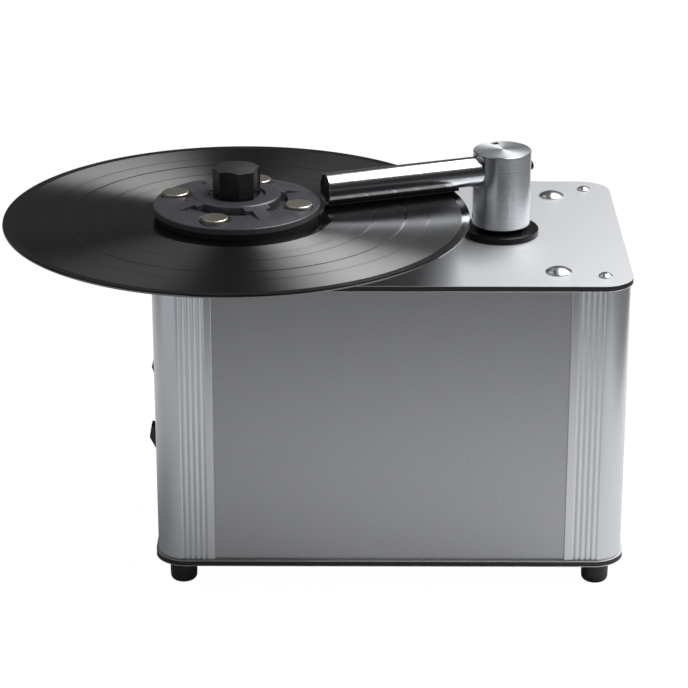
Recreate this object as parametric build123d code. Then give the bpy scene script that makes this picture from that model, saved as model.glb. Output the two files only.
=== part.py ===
from build123d import *
import os
from math import cos, radians, sin, sqrt

# Record cleaning machine: a composite-and-extrusion case, a platter that carries a
# clamped record and a hollow suction arm on a post.
# Millimetres. X to the right, Y to the rear, Z up, ground at Z = 0. The pieces are
# modelled about the centre of the case and moved to the part's own origin at export.

# ---------------------------------------------------------------- driving dimensions
# Top and base plate: thin aluminium skins on a black core
plate_width = 312.0
plate_depth = 218.0
plate_corner_r = 21.0
core_thickness = 3.2
skin_thickness = 0.4
plate_overhang = 1.5
body_height = 190.2

# Feet
foot_height = 18.0
foot_top_r = 9.2
foot_bottom_r = 8.9
foot_round = 3.6
foot_recess_r = 4.6
foot_recess_depth = 7.0

# Corner extrusions and the panels that slide into them
profile_wing = 39.0
profile_wall = 2.2
lip_thickness = 1.0
rail_thickness = 1.4
rail_length = 8.0
slot_depth = 5.0
groove_count = 5
groove_first = 6.3
groove_pitch = 3.6
groove_width = 2.6
groove_depth = 0.9
port_inset_x = 16.7
port_inset_y = 17.7
port_r = 4.5
port_web = 2.5
panel_thickness = 2.0
slide_clearance = 0.1
panel_end_gap = 0.3

# Screws that close the case
case_screw_r = 2.0
case_screw_reach = 12.0
pan_head_r = 4.4
pan_head_height = 2.6
tap_clearance = 0.1
hole_clearance = 0.3
drive_width = 1.1
drive_angle = 40.0
drive_depth = 1.0

# Domed screws and the strap that they hold, inside on the right
hanger_front_inset_x = 47.6
hanger_front_inset_y = 27.1
hanger_back_inset_x = 41.8
hanger_back_inset_y = 33.6
dome_r = 8.6
dome_height = 3.6
dome_edge = 0.8
dome_shank_r = 3.0
strap_width = 26.0
strap_thickness = 2.0
strap_tab = 18.0

# Spindle, platter and record
spindle_inset_x = 56.3
spindle_inset_y = 41.7
record_r = 150.8
record_groove_thickness = 1.6
record_bead = 0.2
record_bead_width = 2.6
record_bead_slope = 1.0
label_slope = 2.0
record_hole_r = 3.63
label_r = 53.0
record_surface_height = 33.5
mat_r = 51.0
mat_thickness = 2.5
hub_disc_thickness = 6.0
hub_stem_r = 16.0
hub_flare = 8.0
shaft_r = 6.0
pin_r = 3.58
pin_reach = 24.0
running_fit = 0.05
soft_gap = 0.3

# Bearing housing, gearbox and motor under the top plate
housing_r = 14.0
housing_boss_height = 8.0
housing_flange_r = 30.0
housing_flange_thickness = 5.0
housing_length = 24.0
bearing_wall = 3.0
bearing_length = 8.0
standoff_circle_r = 24.0
standoff_r = 3.0
standoff_length = 45.0
gearbox_r = 29.0
gearbox_height = 24.0
gear_motor_r = 26.0
gear_motor_height = 54.0
gear_motor_round = 1.5

# Clamp, heights above the record
clamp_r = 54.0
clamp_underside = 2.5
clamp_rim_height = 8.6
clamp_rim_wall = 3.8
clamp_undercut = 1.6
hub_ring_r = 28.0
hub_ring_height = 15.0
hub_well_r = 18.4
hub_well_height = 13.1
cone_top_height = 14.2
edge_chamfer = 0.5
pocket_outer_r = 46.0
pocket_inner_r = 33.0
pocket_height = 10.6
arc_slot_height = 7.6
arc_slot_margin = 4.0
rib_width = 9.5
weight_circle_r = 42.0
weight_r = 8.75
weight_proud = 1.5
weight_seat_depth = 2.2
weight_bevel_r = 10.75
weight_angle = -17.0
seal_wall = 4.0
seal_embed = 1.3
knob_r = 15.4
knob_flat_angle = 40.0
knob_scallop = 0.9
knob_height = 18.4
knob_crown = 2.5
knob_crown_r = 7.3
knob_dish = 0.5
insert_r = 6.0
insert_length = 14.0

# Suction arm
arm_bearing = 19.77
post_r = 19.4
post_top_height = 58.95
post_edge = 0.8
flange_r = 25.4
flange_thickness = 4.6
flange_edge = 0.6
flange_screw_circle_r = 21.6
flange_screw_r = 2.6
flange_screw_shank_r = 1.5
flange_screw_length = 12.0
flange_screw_first = -45.0
flange_drive_length = 3.1
swivel_gap = 2.5
swivel_r = 15.0
tube_r = 10.0
tube_wall = 1.0
tube_height_over_record = 12.0
tube_turn_in = 0.63
tube_length = 125.6
tube_end_gap = 5.5
tube_tail = 13.0
tube_slot_width = 3.0
tube_slot_start = 38.0
tube_slot_margin = 5.0
strip_thickness = 1.6
strip_inner = 1.8
strip_outer = 5.6
strip_margin = 2.0
plug_recess = 1.2
plug_length = 6.0
riser_r = 9.0
riser_wall = 1.6
riser_reach = 24.0
bush_wall = 3.45
bush_reach = 34.0
nut_across = 36.0
nut_height = 6.0
set_screw_r = 2.4
set_screw_length = 6.0
set_screw_sink = 0.4
set_screw_circle_r = 13.4
set_screw_azimuth = 108.7
side_screw_r = 2.0
side_screw_azimuth = 186.0
side_screw_height = 6.3
tail_screw_r = 2.0
tail_head_r = 3.0
tail_head_height = 3.0

# Waste tank, hoses and drain
tank_left = 58.0
tank_side_gap = 4.4
tank_hang = 132.2
tank_height = 70.0
tank_wall = 2.5
tank_round = 6.0
lid_thickness = 3.0
lid_rebate = 2.0
spigot_height = 12.0
spigot_wall = 2.0
hose_wall = 2.0
outlet_x = 84.0
outlet_y = 44.0
outlet_r = 9.0
hose_crown_drop = 20.0
hose_bend = 30.0
drain_strap_distance = 14.3
drain_height = 10.0
drain_r = 7.0
drain_bore_r = 4.5
drain_proud = 14.0
cap_wall = 2.5
cap_depth = 10.0
cap_end = 2.5
cap_flutes = 12

# Suction blower
blower_x = 0.0
blower_y = 25.0
blower_r = 46.0
blower_height = 42.0
blower_wall = 3.0
blower_motor_r = 32.0
blower_motor_height = 45.0
blower_pad_r = 5.0
blower_pad_height = 8.0
blower_pad_circle_r = 24.0
blower_pad_count = 3
impeller_r = 38.0
impeller_height = 24.0
impeller_disc = 2.0
impeller_hub_r = 9.0
impeller_shaft_r = 3.0
impeller_blades = 9
blade_thickness = 1.6
impeller_floor_gap = 4.0
duct_width = 34.0
duct_height = 32.0

# Rear grille and mains inlet
grille_width = 60.0
grille_height = 48.0
grille_thickness = 2.0
grille_slots = 7
grille_slot_width = 2.8
inlet_joint_distance = 27.5
inlet_height = 62.0
inlet_flange_width = 50.0
inlet_flange_height = 24.0
inlet_flange_thickness = 2.5
inlet_flange_round = 8.0
inlet_body_width = 28.0
inlet_body_height = 20.5
inlet_body_depth = 18.0
inlet_socket_width = 24.6
inlet_socket_height = 17.0
inlet_socket_depth = 15.0
inlet_pin_width = 2.0
inlet_pin_height = 4.0
inlet_pin_pitch = 7.0
inlet_pin_recess = 5.0
inlet_earth_rise = 4.0
inlet_screw_pitch = 40.0
inlet_screw_r = 1.7
inlet_screw_head_r = 3.0

# Rocker switches in the left panel
switch_joint_distance = 11.5
rotation_switch_drop = 70.6
vacuum_switch_drop = 120.3
bezel_width = 15.0
bezel_length = 21.0
bezel_thickness = 1.8
switch_body_depth = 16.0
switch_body_margin = 1.0
rocker_width = 10.0
rocker_half_length = 7.9
rocker_side_gap = 0.35
rocker_end_gap = 1.1
rocker_flank = 2.6
rocker_root = 3.0
rocker_root_half = 4.74
switch_cavity = 6.0
trunnion_r = 1.0
trunnion_engagement = 1.0
rotation_ridge = 4.7
vacuum_ridge = 7.5
vacuum_tilt = 8.5

# ---------------------------------------------------------------- derived levels and places
plate_thickness = core_thickness + 2 * skin_thickness
base_z = foot_height
body_z = base_z + plate_thickness
body_top_z = body_z + body_height
deck_z = body_top_z + plate_thickness
body_half_x = plate_width / 2 - plate_overhang
body_half_y = plate_depth / 2 - plate_overhang
body_corner_r = plate_corner_r - plate_overhang
joint_x = body_half_x - profile_wing
joint_y = body_half_y - profile_wing
port_x = body_half_x - port_inset_x
port_y = body_half_y - port_inset_y
slot_width = panel_thickness + 2 * slide_clearance
panel_setback = lip_thickness + slide_clearance
panel_face_x = body_half_x - panel_setback
panel_face_y = body_half_y - panel_setback
inlet_x = inlet_joint_distance - joint_x
switch_y = switch_joint_distance - joint_y
rotation_switch_z = body_top_z - rotation_switch_drop
vacuum_switch_z = body_top_z - vacuum_switch_drop
hanger_front_x = plate_width / 2 - hanger_front_inset_x
hanger_front_y = hanger_front_inset_y - plate_depth / 2
hanger_back_x = plate_width / 2 - hanger_back_inset_x
hanger_back_y = plate_depth / 2 - hanger_back_inset_y

spindle_x = spindle_inset_x - plate_width / 2
spindle_y = spindle_inset_y - plate_depth / 2
record_z = deck_z + record_surface_height
record_under_z = record_z - record_groove_thickness - record_bead
mat_z = record_under_z - mat_thickness
housing_top_z = deck_z + housing_boss_height
housing_flange_z = body_top_z - housing_flange_thickness
housing_bottom_z = housing_flange_z - housing_length
gearbox_top_z = housing_flange_z - standoff_length
shaft_bottom_z = gearbox_top_z - gearbox_height / 2 + soft_gap
knob_z = record_z + hub_well_height + soft_gap
weight_seat_z = record_z + pocket_height - weight_seat_depth

arm_distance = clamp_r + tube_end_gap + tube_length
post_x = spindle_x + arm_distance * cos(radians(arm_bearing))
post_y = spindle_y + arm_distance * sin(radians(arm_bearing))
tube_azimuth = 180 + arm_bearing + tube_turn_in
flange_top_z = deck_z + flange_thickness
post_bottom_z = flange_top_z + swivel_gap
post_top_z = deck_z + post_top_height
tube_z = record_z + tube_height_over_record
riser_bore_r = riser_r - riser_wall
bush_r = riser_r + running_fit + bush_wall
strap_x = (hanger_front_x + hanger_back_x) / 2
drain_x = strap_x - strap_width / 2 - drain_strap_distance
strap_front_y = hanger_front_y + strap_tab / 2
strap_back_y = hanger_back_y - strap_tab / 2
tank_front = strap_front_y + strap_thickness
tank_back = strap_back_y - strap_thickness
tank_right = panel_face_x - panel_thickness - tank_side_gap
tank_bottom = body_top_z - tank_hang
tank_top_z = tank_bottom + tank_height
lid_top_z = tank_top_z + lid_thickness
drain_z = tank_bottom + drain_height
drain_tip_y = body_half_y + drain_proud
cap_tip_y = drain_tip_y + cap_end
blower_motor_z = body_z + blower_pad_height
blower_z = blower_motor_z + blower_motor_height
blower_top_z = blower_z + blower_height
duct_x = blower_x + blower_r - duct_width / 2 - blower_wall
duct_z = blower_z + (blower_height - duct_height) / 2

# The origin is under the middle of the part's own box: the record overhangs the case
# at the left and in front, and the drain cap is the rearmost piece.
left_reach = min(spindle_x - record_r, -plate_width / 2)
right_reach = plate_width / 2
front_reach = min(spindle_y - record_r, -plate_depth / 2)
rear_reach = max(cap_tip_y, plate_depth / 2)
origin_x = (left_reach + right_reach) / 2
origin_y = (front_reach + rear_reach) / 2


# ---------------------------------------------------------------- helpers
def cyl(x, y, z, radius, height):
    """Upright cylinder that stands on height z."""
    return Pos(x, y, z + height / 2) * Cylinder(radius, height)


def tube(x, y, z, outer_r, inner_r, height):
    """Upright tube that stands on height z."""
    return cyl(x, y, z, outer_r, height) - cyl(x, y, z, inner_r, height)


def slab(x0, x1, y0, y1, z0, z1):
    """Box between two corners."""
    centre = Pos((x0 + x1) / 2, (y0 + y1) / 2, (z0 + z1) / 2)
    return centre * Box(x1 - x0, y1 - y0, z1 - z0)


def rod_x(start, end, radius):
    """Cylinder along X between two stations."""
    return Pos((start + end) / 2, 0, 0) * Rot(0, 90, 0) * Cylinder(radius, end - start)


def rod_y(x, z, start, end, radius):
    """Cylinder along Y between two stations."""
    return Pos(x, (start + end) / 2, z) * Rot(90, 0, 0) * Cylinder(radius, end - start)


def turned(points, x, y, z):
    """Solid of revolution about an upright axis, from (radius, height) points."""
    section = Plane.XZ * Polygon(*points, align=None)
    return Pos(x, y, z) * revolve(section, Axis.Z)


def around(count, first_angle):
    """Equally spaced angles."""
    return [first_angle + i * 360 / count for i in range(count)]


def ring_points(x, y, radius, angles):
    """Places on a circle."""
    return [(x + radius * cos(radians(a)), y + radius * sin(radians(a))) for a in angles]


def cross_recess(x, y, z_top, width, length, depth):
    """Cross-shaped driver recess, open at the top."""
    bar = Box(length, width, 2 * depth)
    return Pos(x, y, z_top) * (bar + Rot(0, 0, 90) * bar)


def four_corners(x, y):
    """One place in each corner of the case, front left first."""
    return [(-x, -y), (x, -y), (-x, y), (x, y)]


def group(solids):
    """Separate like pieces kept in one sub-part."""
    return Compound(children=list(solids))


# ---------------------------------------------------------------- plates
def plate_layer(z, thickness):
    return extrude(Pos(0, 0, z) * RectangleRounded(plate_width, plate_depth, plate_corner_r), thickness)


def case_screw_holes(z, thickness):
    """Four clearance holes over the screw ports of the corner profiles."""
    hole_r = case_screw_r + hole_clearance
    return [cyl(x, y, z, hole_r, thickness) for x, y in four_corners(port_x, port_y)]


def top_plate_layer(z, thickness):
    """One layer of the top plate with every hole that goes through it."""
    layer = plate_layer(z, thickness)
    holes = case_screw_holes(z, thickness)
    holes.append(cyl(spindle_x, spindle_y, z, housing_r + hole_clearance, thickness))
    holes.append(cyl(post_x, post_y, z, bush_r + hole_clearance, thickness))
    for x, y in hanger_places():
        holes.append(cyl(x, y, z, dome_shank_r + hole_clearance, thickness))
    for x, y in flange_screw_places():
        holes.append(cyl(x, y, z, flange_screw_shank_r + tap_clearance, thickness))
    for x, y in housing_screw_places():
        holes.append(cyl(x, y, z, case_screw_r + hole_clearance, thickness))
    return layer - holes


def base_plate_layer(z, thickness):
    return plate_layer(z, thickness) - case_screw_holes(z, thickness)


def hanger_places():
    return [(hanger_front_x, hanger_front_y), (hanger_back_x, hanger_back_y)]


def flange_screw_places():
    return ring_points(post_x, post_y, flange_screw_circle_r, around(4, flange_screw_first))


def housing_screw_places():
    return ring_points(spindle_x, spindle_y, standoff_circle_r, around(4, 0))


def top_plate_core():
    return top_plate_layer(body_top_z + skin_thickness, core_thickness)


def top_plate_skins():
    lower = top_plate_layer(body_top_z, skin_thickness)
    upper = top_plate_layer(deck_z - skin_thickness, skin_thickness)
    return group([lower, upper])


def base_plate_core():
    return base_plate_layer(base_z + skin_thickness, core_thickness)


def base_plate_skins():
    lower = base_plate_layer(base_z, skin_thickness)
    upper = base_plate_layer(body_z - skin_thickness, skin_thickness)
    return group([lower, upper])


# ---------------------------------------------------------------- corner extrusions
def wing_bar(along, across, length, depth, upright):
    """Rectangle on a wing: length runs along the wing, which lies along Y if upright."""
    if upright:
        return Pos(across, along) * Rectangle(depth, length)
    return Pos(along, across) * Rectangle(length, depth)


def wing_vee(along, across, upright):
    """V groove, open at the wing's outer face."""
    vee = Polygon((-groove_width / 2, 0), (groove_width / 2, 0), (0, -groove_depth), align=None)
    if upright:
        return Pos(across, along) * Rot(0, 0, -90) * vee
    return Pos(along, across) * vee


def finish_wing(section, end, face, upright):
    """Adds the rail and cuts the slot and the grooves of one wing."""
    rail_depth = lip_thickness + slot_width + rail_thickness
    slot_across = face - lip_thickness - slot_width / 2
    section += wing_bar(end + rail_length / 2, face - rail_depth / 2, rail_length, rail_depth, upright)
    section -= wing_bar(end + slot_depth / 2, slot_across, slot_depth, slot_width, upright)
    for i in range(groove_count):
        section -= wing_vee(end + groove_first + i * groove_pitch, face, upright)
    return section


def profile_section():
    """Section of the rear right extrusion."""
    outer = RectangleRounded(2 * body_half_x, 2 * body_half_y, body_corner_r)
    centre = Pos(body_half_x - profile_wing / 2, body_half_y - profile_wing / 2)
    quarter = outer & (centre * Rectangle(profile_wing, profile_wing))
    inner = RectangleRounded(
        2 * (body_half_x - profile_wall),
        2 * (body_half_y - profile_wall),
        body_corner_r - profile_wall,
    )
    section = quarter - inner
    port = Pos(port_x, port_y)
    web = port * Rot(0, 0, 45) * Pos(body_corner_r / 2, 0) * Rectangle(body_corner_r, port_web)
    section += port * Circle(port_r)
    section += web & quarter
    section -= port * Circle(case_screw_r + tap_clearance)
    section = finish_wing(section, joint_x, body_half_y, False)
    return finish_wing(section, joint_y, body_half_x, True)


def corner_profiles():
    """Rear right, rear left, front right and front left extrusions."""
    rear_right = extrude(Pos(0, 0, body_z) * profile_section(), body_height)
    rear_left = mirror(rear_right, about=Plane.YZ)
    front_right = mirror(rear_right, about=Plane.XZ)
    front_left = mirror(front_right, about=Plane.YZ)
    return rear_right, rear_left, front_right, front_left


# ---------------------------------------------------------------- panels
panel_top_z = body_top_z - panel_end_gap
panel_half_x = joint_x + slot_depth - panel_end_gap
panel_half_y = joint_y + slot_depth - panel_end_gap


def front_panel():
    inner = panel_face_y - panel_thickness
    return slab(-panel_half_x, panel_half_x, -panel_face_y, -inner, body_z, panel_top_z)


def rear_panel():
    inner = panel_face_y - panel_thickness
    panel = slab(-panel_half_x, panel_half_x, inner, panel_face_y, body_z, panel_top_z)
    window_half = duct_width / 2
    window = slab(
        duct_x - window_half, duct_x + window_half,
        inner, panel_face_y,
        duct_z, duct_z + duct_height,
    )
    half_width = inlet_body_width / 2 + slide_clearance
    half_height = inlet_body_height / 2 + slide_clearance
    inlet_hole = slab(
        inlet_x - half_width, inlet_x + half_width,
        inner, panel_face_y,
        inlet_height - half_height, inlet_height + half_height,
    )
    drain_hole = rod_y(drain_x, drain_z, inner, panel_face_y, drain_r + hole_clearance)
    panel = panel - window - inlet_hole - drain_hole
    for x, z in inlet_screw_places():
        panel -= rod_y(x, z, inner, panel_face_y, inlet_screw_r)
    return panel


def right_panel():
    inner = panel_face_x - panel_thickness
    return slab(inner, panel_face_x, -panel_half_y, panel_half_y, body_z, panel_top_z)


def left_panel():
    inner = panel_face_x - panel_thickness
    panel = slab(-panel_face_x, -inner, -panel_half_y, panel_half_y, body_z, panel_top_z)
    half_width = bezel_width / 2 - switch_body_margin + slide_clearance
    half_length = bezel_length / 2 - switch_body_margin + slide_clearance
    for z in (rotation_switch_z, vacuum_switch_z):
        panel -= slab(
            -panel_face_x, -inner,
            switch_y - half_width, switch_y + half_width,
            z - half_length, z + half_length,
        )
    return panel


# ---------------------------------------------------------------- feet and case screws
def foot(x, y):
    body = Pos(x, y, foot_height / 2) * Cone(foot_bottom_r, foot_top_r, foot_height)
    body = fillet(body.edges().sort_by(Axis.Z)[0], foot_round)
    body -= cyl(x, y, 0, foot_recess_r, foot_recess_depth)
    return body - cyl(x, y, 0, case_screw_r + hole_clearance, foot_height)


def feet():
    return group(foot(x, y) for x, y in four_corners(port_x, port_y))


def pan_screw(x, y, seat_z, reach):
    """Screw whose head rests on seat_z, with its shank below."""
    head = cyl(x, y, seat_z, pan_head_r, pan_head_height)
    head = fillet(head.edges().sort_by(Axis.Z)[-1], pan_head_height / 3)
    drive_slot = Box(2 * pan_head_r, drive_width, 2 * drive_depth)
    slot = Pos(x, y, seat_z + pan_head_height) * Rot(0, 0, drive_angle) * drive_slot
    return head + cyl(x, y, seat_z - reach, case_screw_r, reach) - slot


def top_corner_screws():
    reach = plate_thickness + case_screw_reach
    return group(pan_screw(x, y, deck_z, reach) for x, y in four_corners(port_x, port_y))


def foot_screws():
    """Screws that hold the feet and the base plate, heads down in the feet."""
    reach = foot_height - foot_recess_depth + plate_thickness + case_screw_reach
    screws = []
    for x, y in four_corners(port_x, port_y):
        upright = pan_screw(0, 0, 0, reach)
        screws.append(Pos(x, y, foot_recess_depth) * Rot(180, 0, 0) * upright)
    return group(screws)


def dome_screw(x, y, reach):
    """Screw with a spherical low dome and a cross recess."""
    rise = dome_height - dome_edge
    sphere_r = (dome_r ** 2 + rise ** 2) / (2 * rise)
    middle_height = dome_height - sphere_r + sqrt(sphere_r ** 2 - (dome_r / 2) ** 2)
    arc = ThreePointArc((dome_r, dome_edge), (dome_r / 2, middle_height), (0, dome_height))
    outline = Polyline((0, dome_height), (0, 0), (dome_r, 0), (dome_r, dome_edge))
    section = make_face(arc.edges() + outline.edges())
    head = Pos(x, y, deck_z) * revolve(Plane.XZ * section, Axis.Z)
    head -= cross_recess(x, y, deck_z + dome_height, drive_width, dome_r, dome_height / 2)
    return head + cyl(x, y, deck_z - reach, dome_shank_r, reach)


def hanger_screws():
    reach = plate_thickness + strap_thickness
    return group(dome_screw(x, y, reach) for x, y in hanger_places())


def hanger_strap():
    """Bent strap that carries the waste tank below the top plate."""
    left = strap_x - strap_width / 2
    right = strap_x + strap_width / 2
    tab_z = body_top_z - strap_thickness
    floor_z = tank_bottom - strap_thickness
    front_tab = slab(left, right, strap_front_y - strap_tab, strap_front_y, tab_z, body_top_z)
    front_leg = slab(left, right, strap_front_y, tank_front, floor_z, body_top_z)
    floor = slab(left, right, strap_front_y, strap_back_y, floor_z, tank_bottom)
    back_leg = slab(left, right, tank_back, strap_back_y, floor_z, body_top_z)
    back_tab = slab(left, right, strap_back_y, strap_back_y + strap_tab, tab_z, body_top_z)
    strap = front_tab + front_leg + floor + back_leg + back_tab
    for x, y in hanger_places():
        strap -= cyl(x, y, tab_z, dome_shank_r, strap_thickness)
    return strap


# ---------------------------------------------------------------- spindle drive
def bearing_housing():
    """Flanged housing under the top plate, with a boss up through it."""
    height = housing_top_z - housing_bottom_z
    body = cyl(spindle_x, spindle_y, housing_bottom_z, housing_r, height)
    body += cyl(spindle_x, spindle_y, housing_flange_z, housing_flange_r, housing_flange_thickness)
    body -= cyl(spindle_x, spindle_y, housing_bottom_z, shaft_r + 2 * running_fit, height)
    seat_r = shaft_r + bearing_wall
    body -= cyl(spindle_x, spindle_y, housing_bottom_z, seat_r, bearing_length)
    body -= cyl(spindle_x, spindle_y, housing_top_z - bearing_length, seat_r, bearing_length)
    for x, y in housing_screw_places():
        body -= cyl(x, y, housing_flange_z, case_screw_r + tap_clearance, housing_flange_thickness)
    return body


def spindle_bearings():
    bearings = []
    for z in (housing_bottom_z, housing_top_z - bearing_length):
        outer_r = shaft_r + bearing_wall
        bearings.append(tube(spindle_x, spindle_y, z, outer_r, shaft_r + running_fit, bearing_length))
    return group(bearings)


def housing_screws():
    """Countersunk screws through the top plate into the standoffs."""
    reach = plate_thickness + housing_flange_thickness
    return group(cyl(x, y, deck_z - reach, case_screw_r, reach) for x, y in housing_screw_places())


def motor_standoffs():
    return group(
        cyl(x, y, gearbox_top_z, standoff_r, standoff_length)
        for x, y in housing_screw_places()
    )


def gearbox():
    """Gearbox whose hollow output takes the end of the spindle."""
    body = cyl(spindle_x, spindle_y, gearbox_top_z - gearbox_height, gearbox_r, gearbox_height)
    bore_r = shaft_r + running_fit
    return body - cyl(spindle_x, spindle_y, gearbox_top_z - gearbox_height / 2, bore_r, gearbox_height / 2)


def gear_motor():
    z = gearbox_top_z - gearbox_height - gear_motor_height
    body = cyl(spindle_x, spindle_y, z, gear_motor_r, gear_motor_height)
    return fillet(body.edges().sort_by(Axis.Z)[0], gear_motor_round)


# ---------------------------------------------------------------- platter and record
def spindle():
    """Shaft with a slimmer pin that goes through the record into the clamp knob."""
    pin_top_z = record_z + pin_reach
    shaft = cyl(spindle_x, spindle_y, shaft_bottom_z, shaft_r, mat_z - shaft_bottom_z)
    pin = cyl(spindle_x, spindle_y, mat_z, pin_r, pin_top_z - mat_z)
    pin = chamfer(pin.edges().sort_by(Axis.Z)[-1], edge_chamfer)
    return shaft + pin


def platter_hub():
    """Turned hub: a disc for the mat on a stem that is clamped to the shaft."""
    stem_bottom = housing_top_z + soft_gap - mat_z
    disc_bottom = -hub_disc_thickness
    points = [
        (shaft_r, stem_bottom),
        (hub_stem_r, stem_bottom),
        (hub_stem_r, disc_bottom - hub_flare),
        (hub_stem_r + hub_flare, disc_bottom),
        (mat_r - edge_chamfer, disc_bottom),
        (mat_r, disc_bottom + edge_chamfer),
        (mat_r, 0),
        (shaft_r, 0),
    ]
    return turned(points, spindle_x, spindle_y, mat_z)


def platter_mat():
    return tube(spindle_x, spindle_y, mat_z, mat_r, pin_r + hole_clearance, mat_thickness)


def record():
    """Long-playing record: raised label and rim, thinner grooved area."""
    top = record_bead
    floor = -record_groove_thickness
    low = floor - record_bead
    rim_in = record_r - record_bead_width
    rim_out = rim_in + record_bead_slope
    slope_end = label_r + label_slope
    points = [
        (record_hole_r, low),
        (label_r, low),
        (slope_end, floor),
        (rim_in, floor),
        (rim_out, low),
        (record_r - record_bead, low),
        (record_r, floor / 2 - record_bead),
        (record_r, floor / 2 + record_bead),
        (record_r - record_bead, top),
        (rim_out, top),
        (rim_in, 0),
        (slope_end, 0),
        (label_r, top),
        (record_hole_r, top),
    ]
    return turned(points, spindle_x, spindle_y, record_z)


# ---------------------------------------------------------------- clamp
rib_angles = around(4, weight_angle - 45)


def rib_bars(width):
    """Plan of the four ribs as two crossed bars."""
    bar = Rectangle(2 * clamp_r, width)
    return Rot(0, 0, rib_angles[0]) * bar + Rot(0, 0, rib_angles[1]) * bar


def clamp_section():
    """Half section of the moulded disc, radius and height above the record."""
    rim_low = clamp_rim_height - clamp_rim_wall
    seal_in = clamp_r - clamp_undercut - seal_wall
    seal_top = clamp_underside + seal_embed
    return [
        (pin_r + hole_clearance, clamp_underside),
        (seal_in, clamp_underside),
        (seal_in, seal_top),
        (clamp_r - clamp_undercut, seal_top),
        (clamp_r - clamp_undercut, rim_low),
        (clamp_r, rim_low),
        (clamp_r, clamp_rim_height - edge_chamfer),
        (clamp_r - edge_chamfer, clamp_rim_height),
        (hub_ring_r + edge_chamfer, cone_top_height),
        (hub_ring_r, hub_ring_height - edge_chamfer),
        (hub_ring_r - edge_chamfer, hub_ring_height),
        (hub_well_r + edge_chamfer, hub_ring_height),
        (hub_well_r, hub_ring_height - edge_chamfer),
        (hub_well_r, hub_well_height),
        (pin_r + hole_clearance, hub_well_height),
    ]


def weight_places():
    return ring_points(spindle_x, spindle_y, weight_circle_r, around(4, weight_angle))


def clamp_disc():
    """Moulded disc: a low cone with four flat pockets between ribs and a hub ring."""
    disc = turned(clamp_section(), spindle_x, spindle_y, record_z)
    at_disc = Pos(spindle_x, spindle_y, 0)
    head_room = hub_ring_height
    pockets = Circle(pocket_outer_r) - Circle(pocket_inner_r) - rib_bars(rib_width)
    disc -= extrude(at_disc * Pos(0, 0, record_z + pocket_height) * pockets, head_room)
    slots = Circle(pocket_inner_r) - Circle(hub_ring_r + edge_chamfer)
    slots -= rib_bars(rib_width + 2 * arc_slot_margin)
    disc -= extrude(at_disc * Pos(0, 0, record_z + arc_slot_height) * slots, head_room)
    bevel_depth = weight_bevel_r - weight_r - hole_clearance
    for x, y in weight_places():
        disc -= cyl(x, y, weight_seat_z, weight_r + hole_clearance, head_room)
        bevel_z = record_z + pocket_height - bevel_depth
        bevel = Cone(weight_r + hole_clearance, weight_bevel_r, bevel_depth)
        disc -= Pos(x, y, bevel_z + bevel_depth / 2) * bevel
    return disc


def clamp_weights():
    """Four bevelled metal discs set in the pockets."""
    height = weight_seat_depth + weight_proud
    weights = []
    for x, y in weight_places():
        disc = cyl(x, y, weight_seat_z, weight_r, height)
        weights.append(chamfer(disc.edges().sort_by(Axis.Z)[-1], edge_chamfer))
    return group(weights)


def clamp_seal():
    """Soft ring under the rim that seals the label."""
    outer_r = clamp_r - clamp_undercut
    height = clamp_underside + seal_embed - record_bead
    return tube(spindle_x, spindle_y, record_z + record_bead, outer_r, outer_r - seal_wall, height)


def knob_outline():
    """Octagonal plan: four flats and four hollow finger scallops."""
    scallop_angle = 90 - knob_flat_angle
    chord_r = knob_r * cos(radians(scallop_angle / 2))
    edges = []
    for middle in rib_angles:
        flat_start = polar(knob_r, middle - knob_flat_angle / 2)
        flat_end = polar(knob_r, middle + knob_flat_angle / 2)
        next_start = polar(knob_r, middle + 90 - knob_flat_angle / 2)
        hollow = polar(chord_r - knob_scallop, middle + 45)
        edges.append(Line(flat_start, flat_end))
        edges.append(ThreePointArc(flat_end, hollow, next_start))
    return make_face(Curve() + edges)


def polar(radius, angle):
    return (radius * cos(radians(angle)), radius * sin(radians(angle)))


def clamp_knob():
    """Screw-down knob with a coned crown and a dished centre."""
    total = knob_height + knob_crown
    body = extrude(knob_outline(), total)
    envelope = Plane.XZ * Polygon(
        (0, 0),
        (knob_r - edge_chamfer, 0),
        (knob_r, edge_chamfer),
        (knob_r, knob_height),
        (knob_crown_r, total),
        (0, total - knob_dish),
        align=None,
    )
    body = body & revolve(envelope, Axis.Z)
    body = Pos(spindle_x, spindle_y, knob_z) * body
    pin_top = record_z + pin_reach
    body -= cyl(spindle_x, spindle_y, knob_z, insert_r, insert_length)
    return body - cyl(spindle_x, spindle_y, knob_z, pin_r + hole_clearance, pin_top + soft_gap - knob_z)


def knob_insert():
    """Brass thread insert in the knob."""
    return tube(spindle_x, spindle_y, knob_z, insert_r, pin_r + running_fit, insert_length)


# ---------------------------------------------------------------- suction arm
arm_place = Pos(post_x, post_y, tube_z) * Rot(0, 0, tube_azimuth)


def arm_flange():
    """Black ring that is screwed to the deck round the arm."""
    ring = tube(post_x, post_y, deck_z, flange_r, bush_r, flange_thickness)
    rims = ring.edges().filter_by(GeomType.CIRCLE).group_by(Axis.Z)[-1]
    ring = chamfer(rims.sort_by(SortBy.RADIUS)[-1], flange_edge)
    for x, y in flange_screw_places():
        ring -= cyl(x, y, deck_z, flange_screw_shank_r + tap_clearance, flange_thickness)
        ring -= countersink(x, y, flange_top_z, hole_clearance / 2)
    return ring


def countersink(x, y, z_top, gap):
    """Cone of a countersunk head whose flat top is at z_top."""
    depth = flange_screw_r - flange_screw_shank_r
    cone = Cone(flange_screw_shank_r + gap, flange_screw_r + gap, depth)
    return Pos(x, y, z_top - depth / 2) * cone


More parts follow.
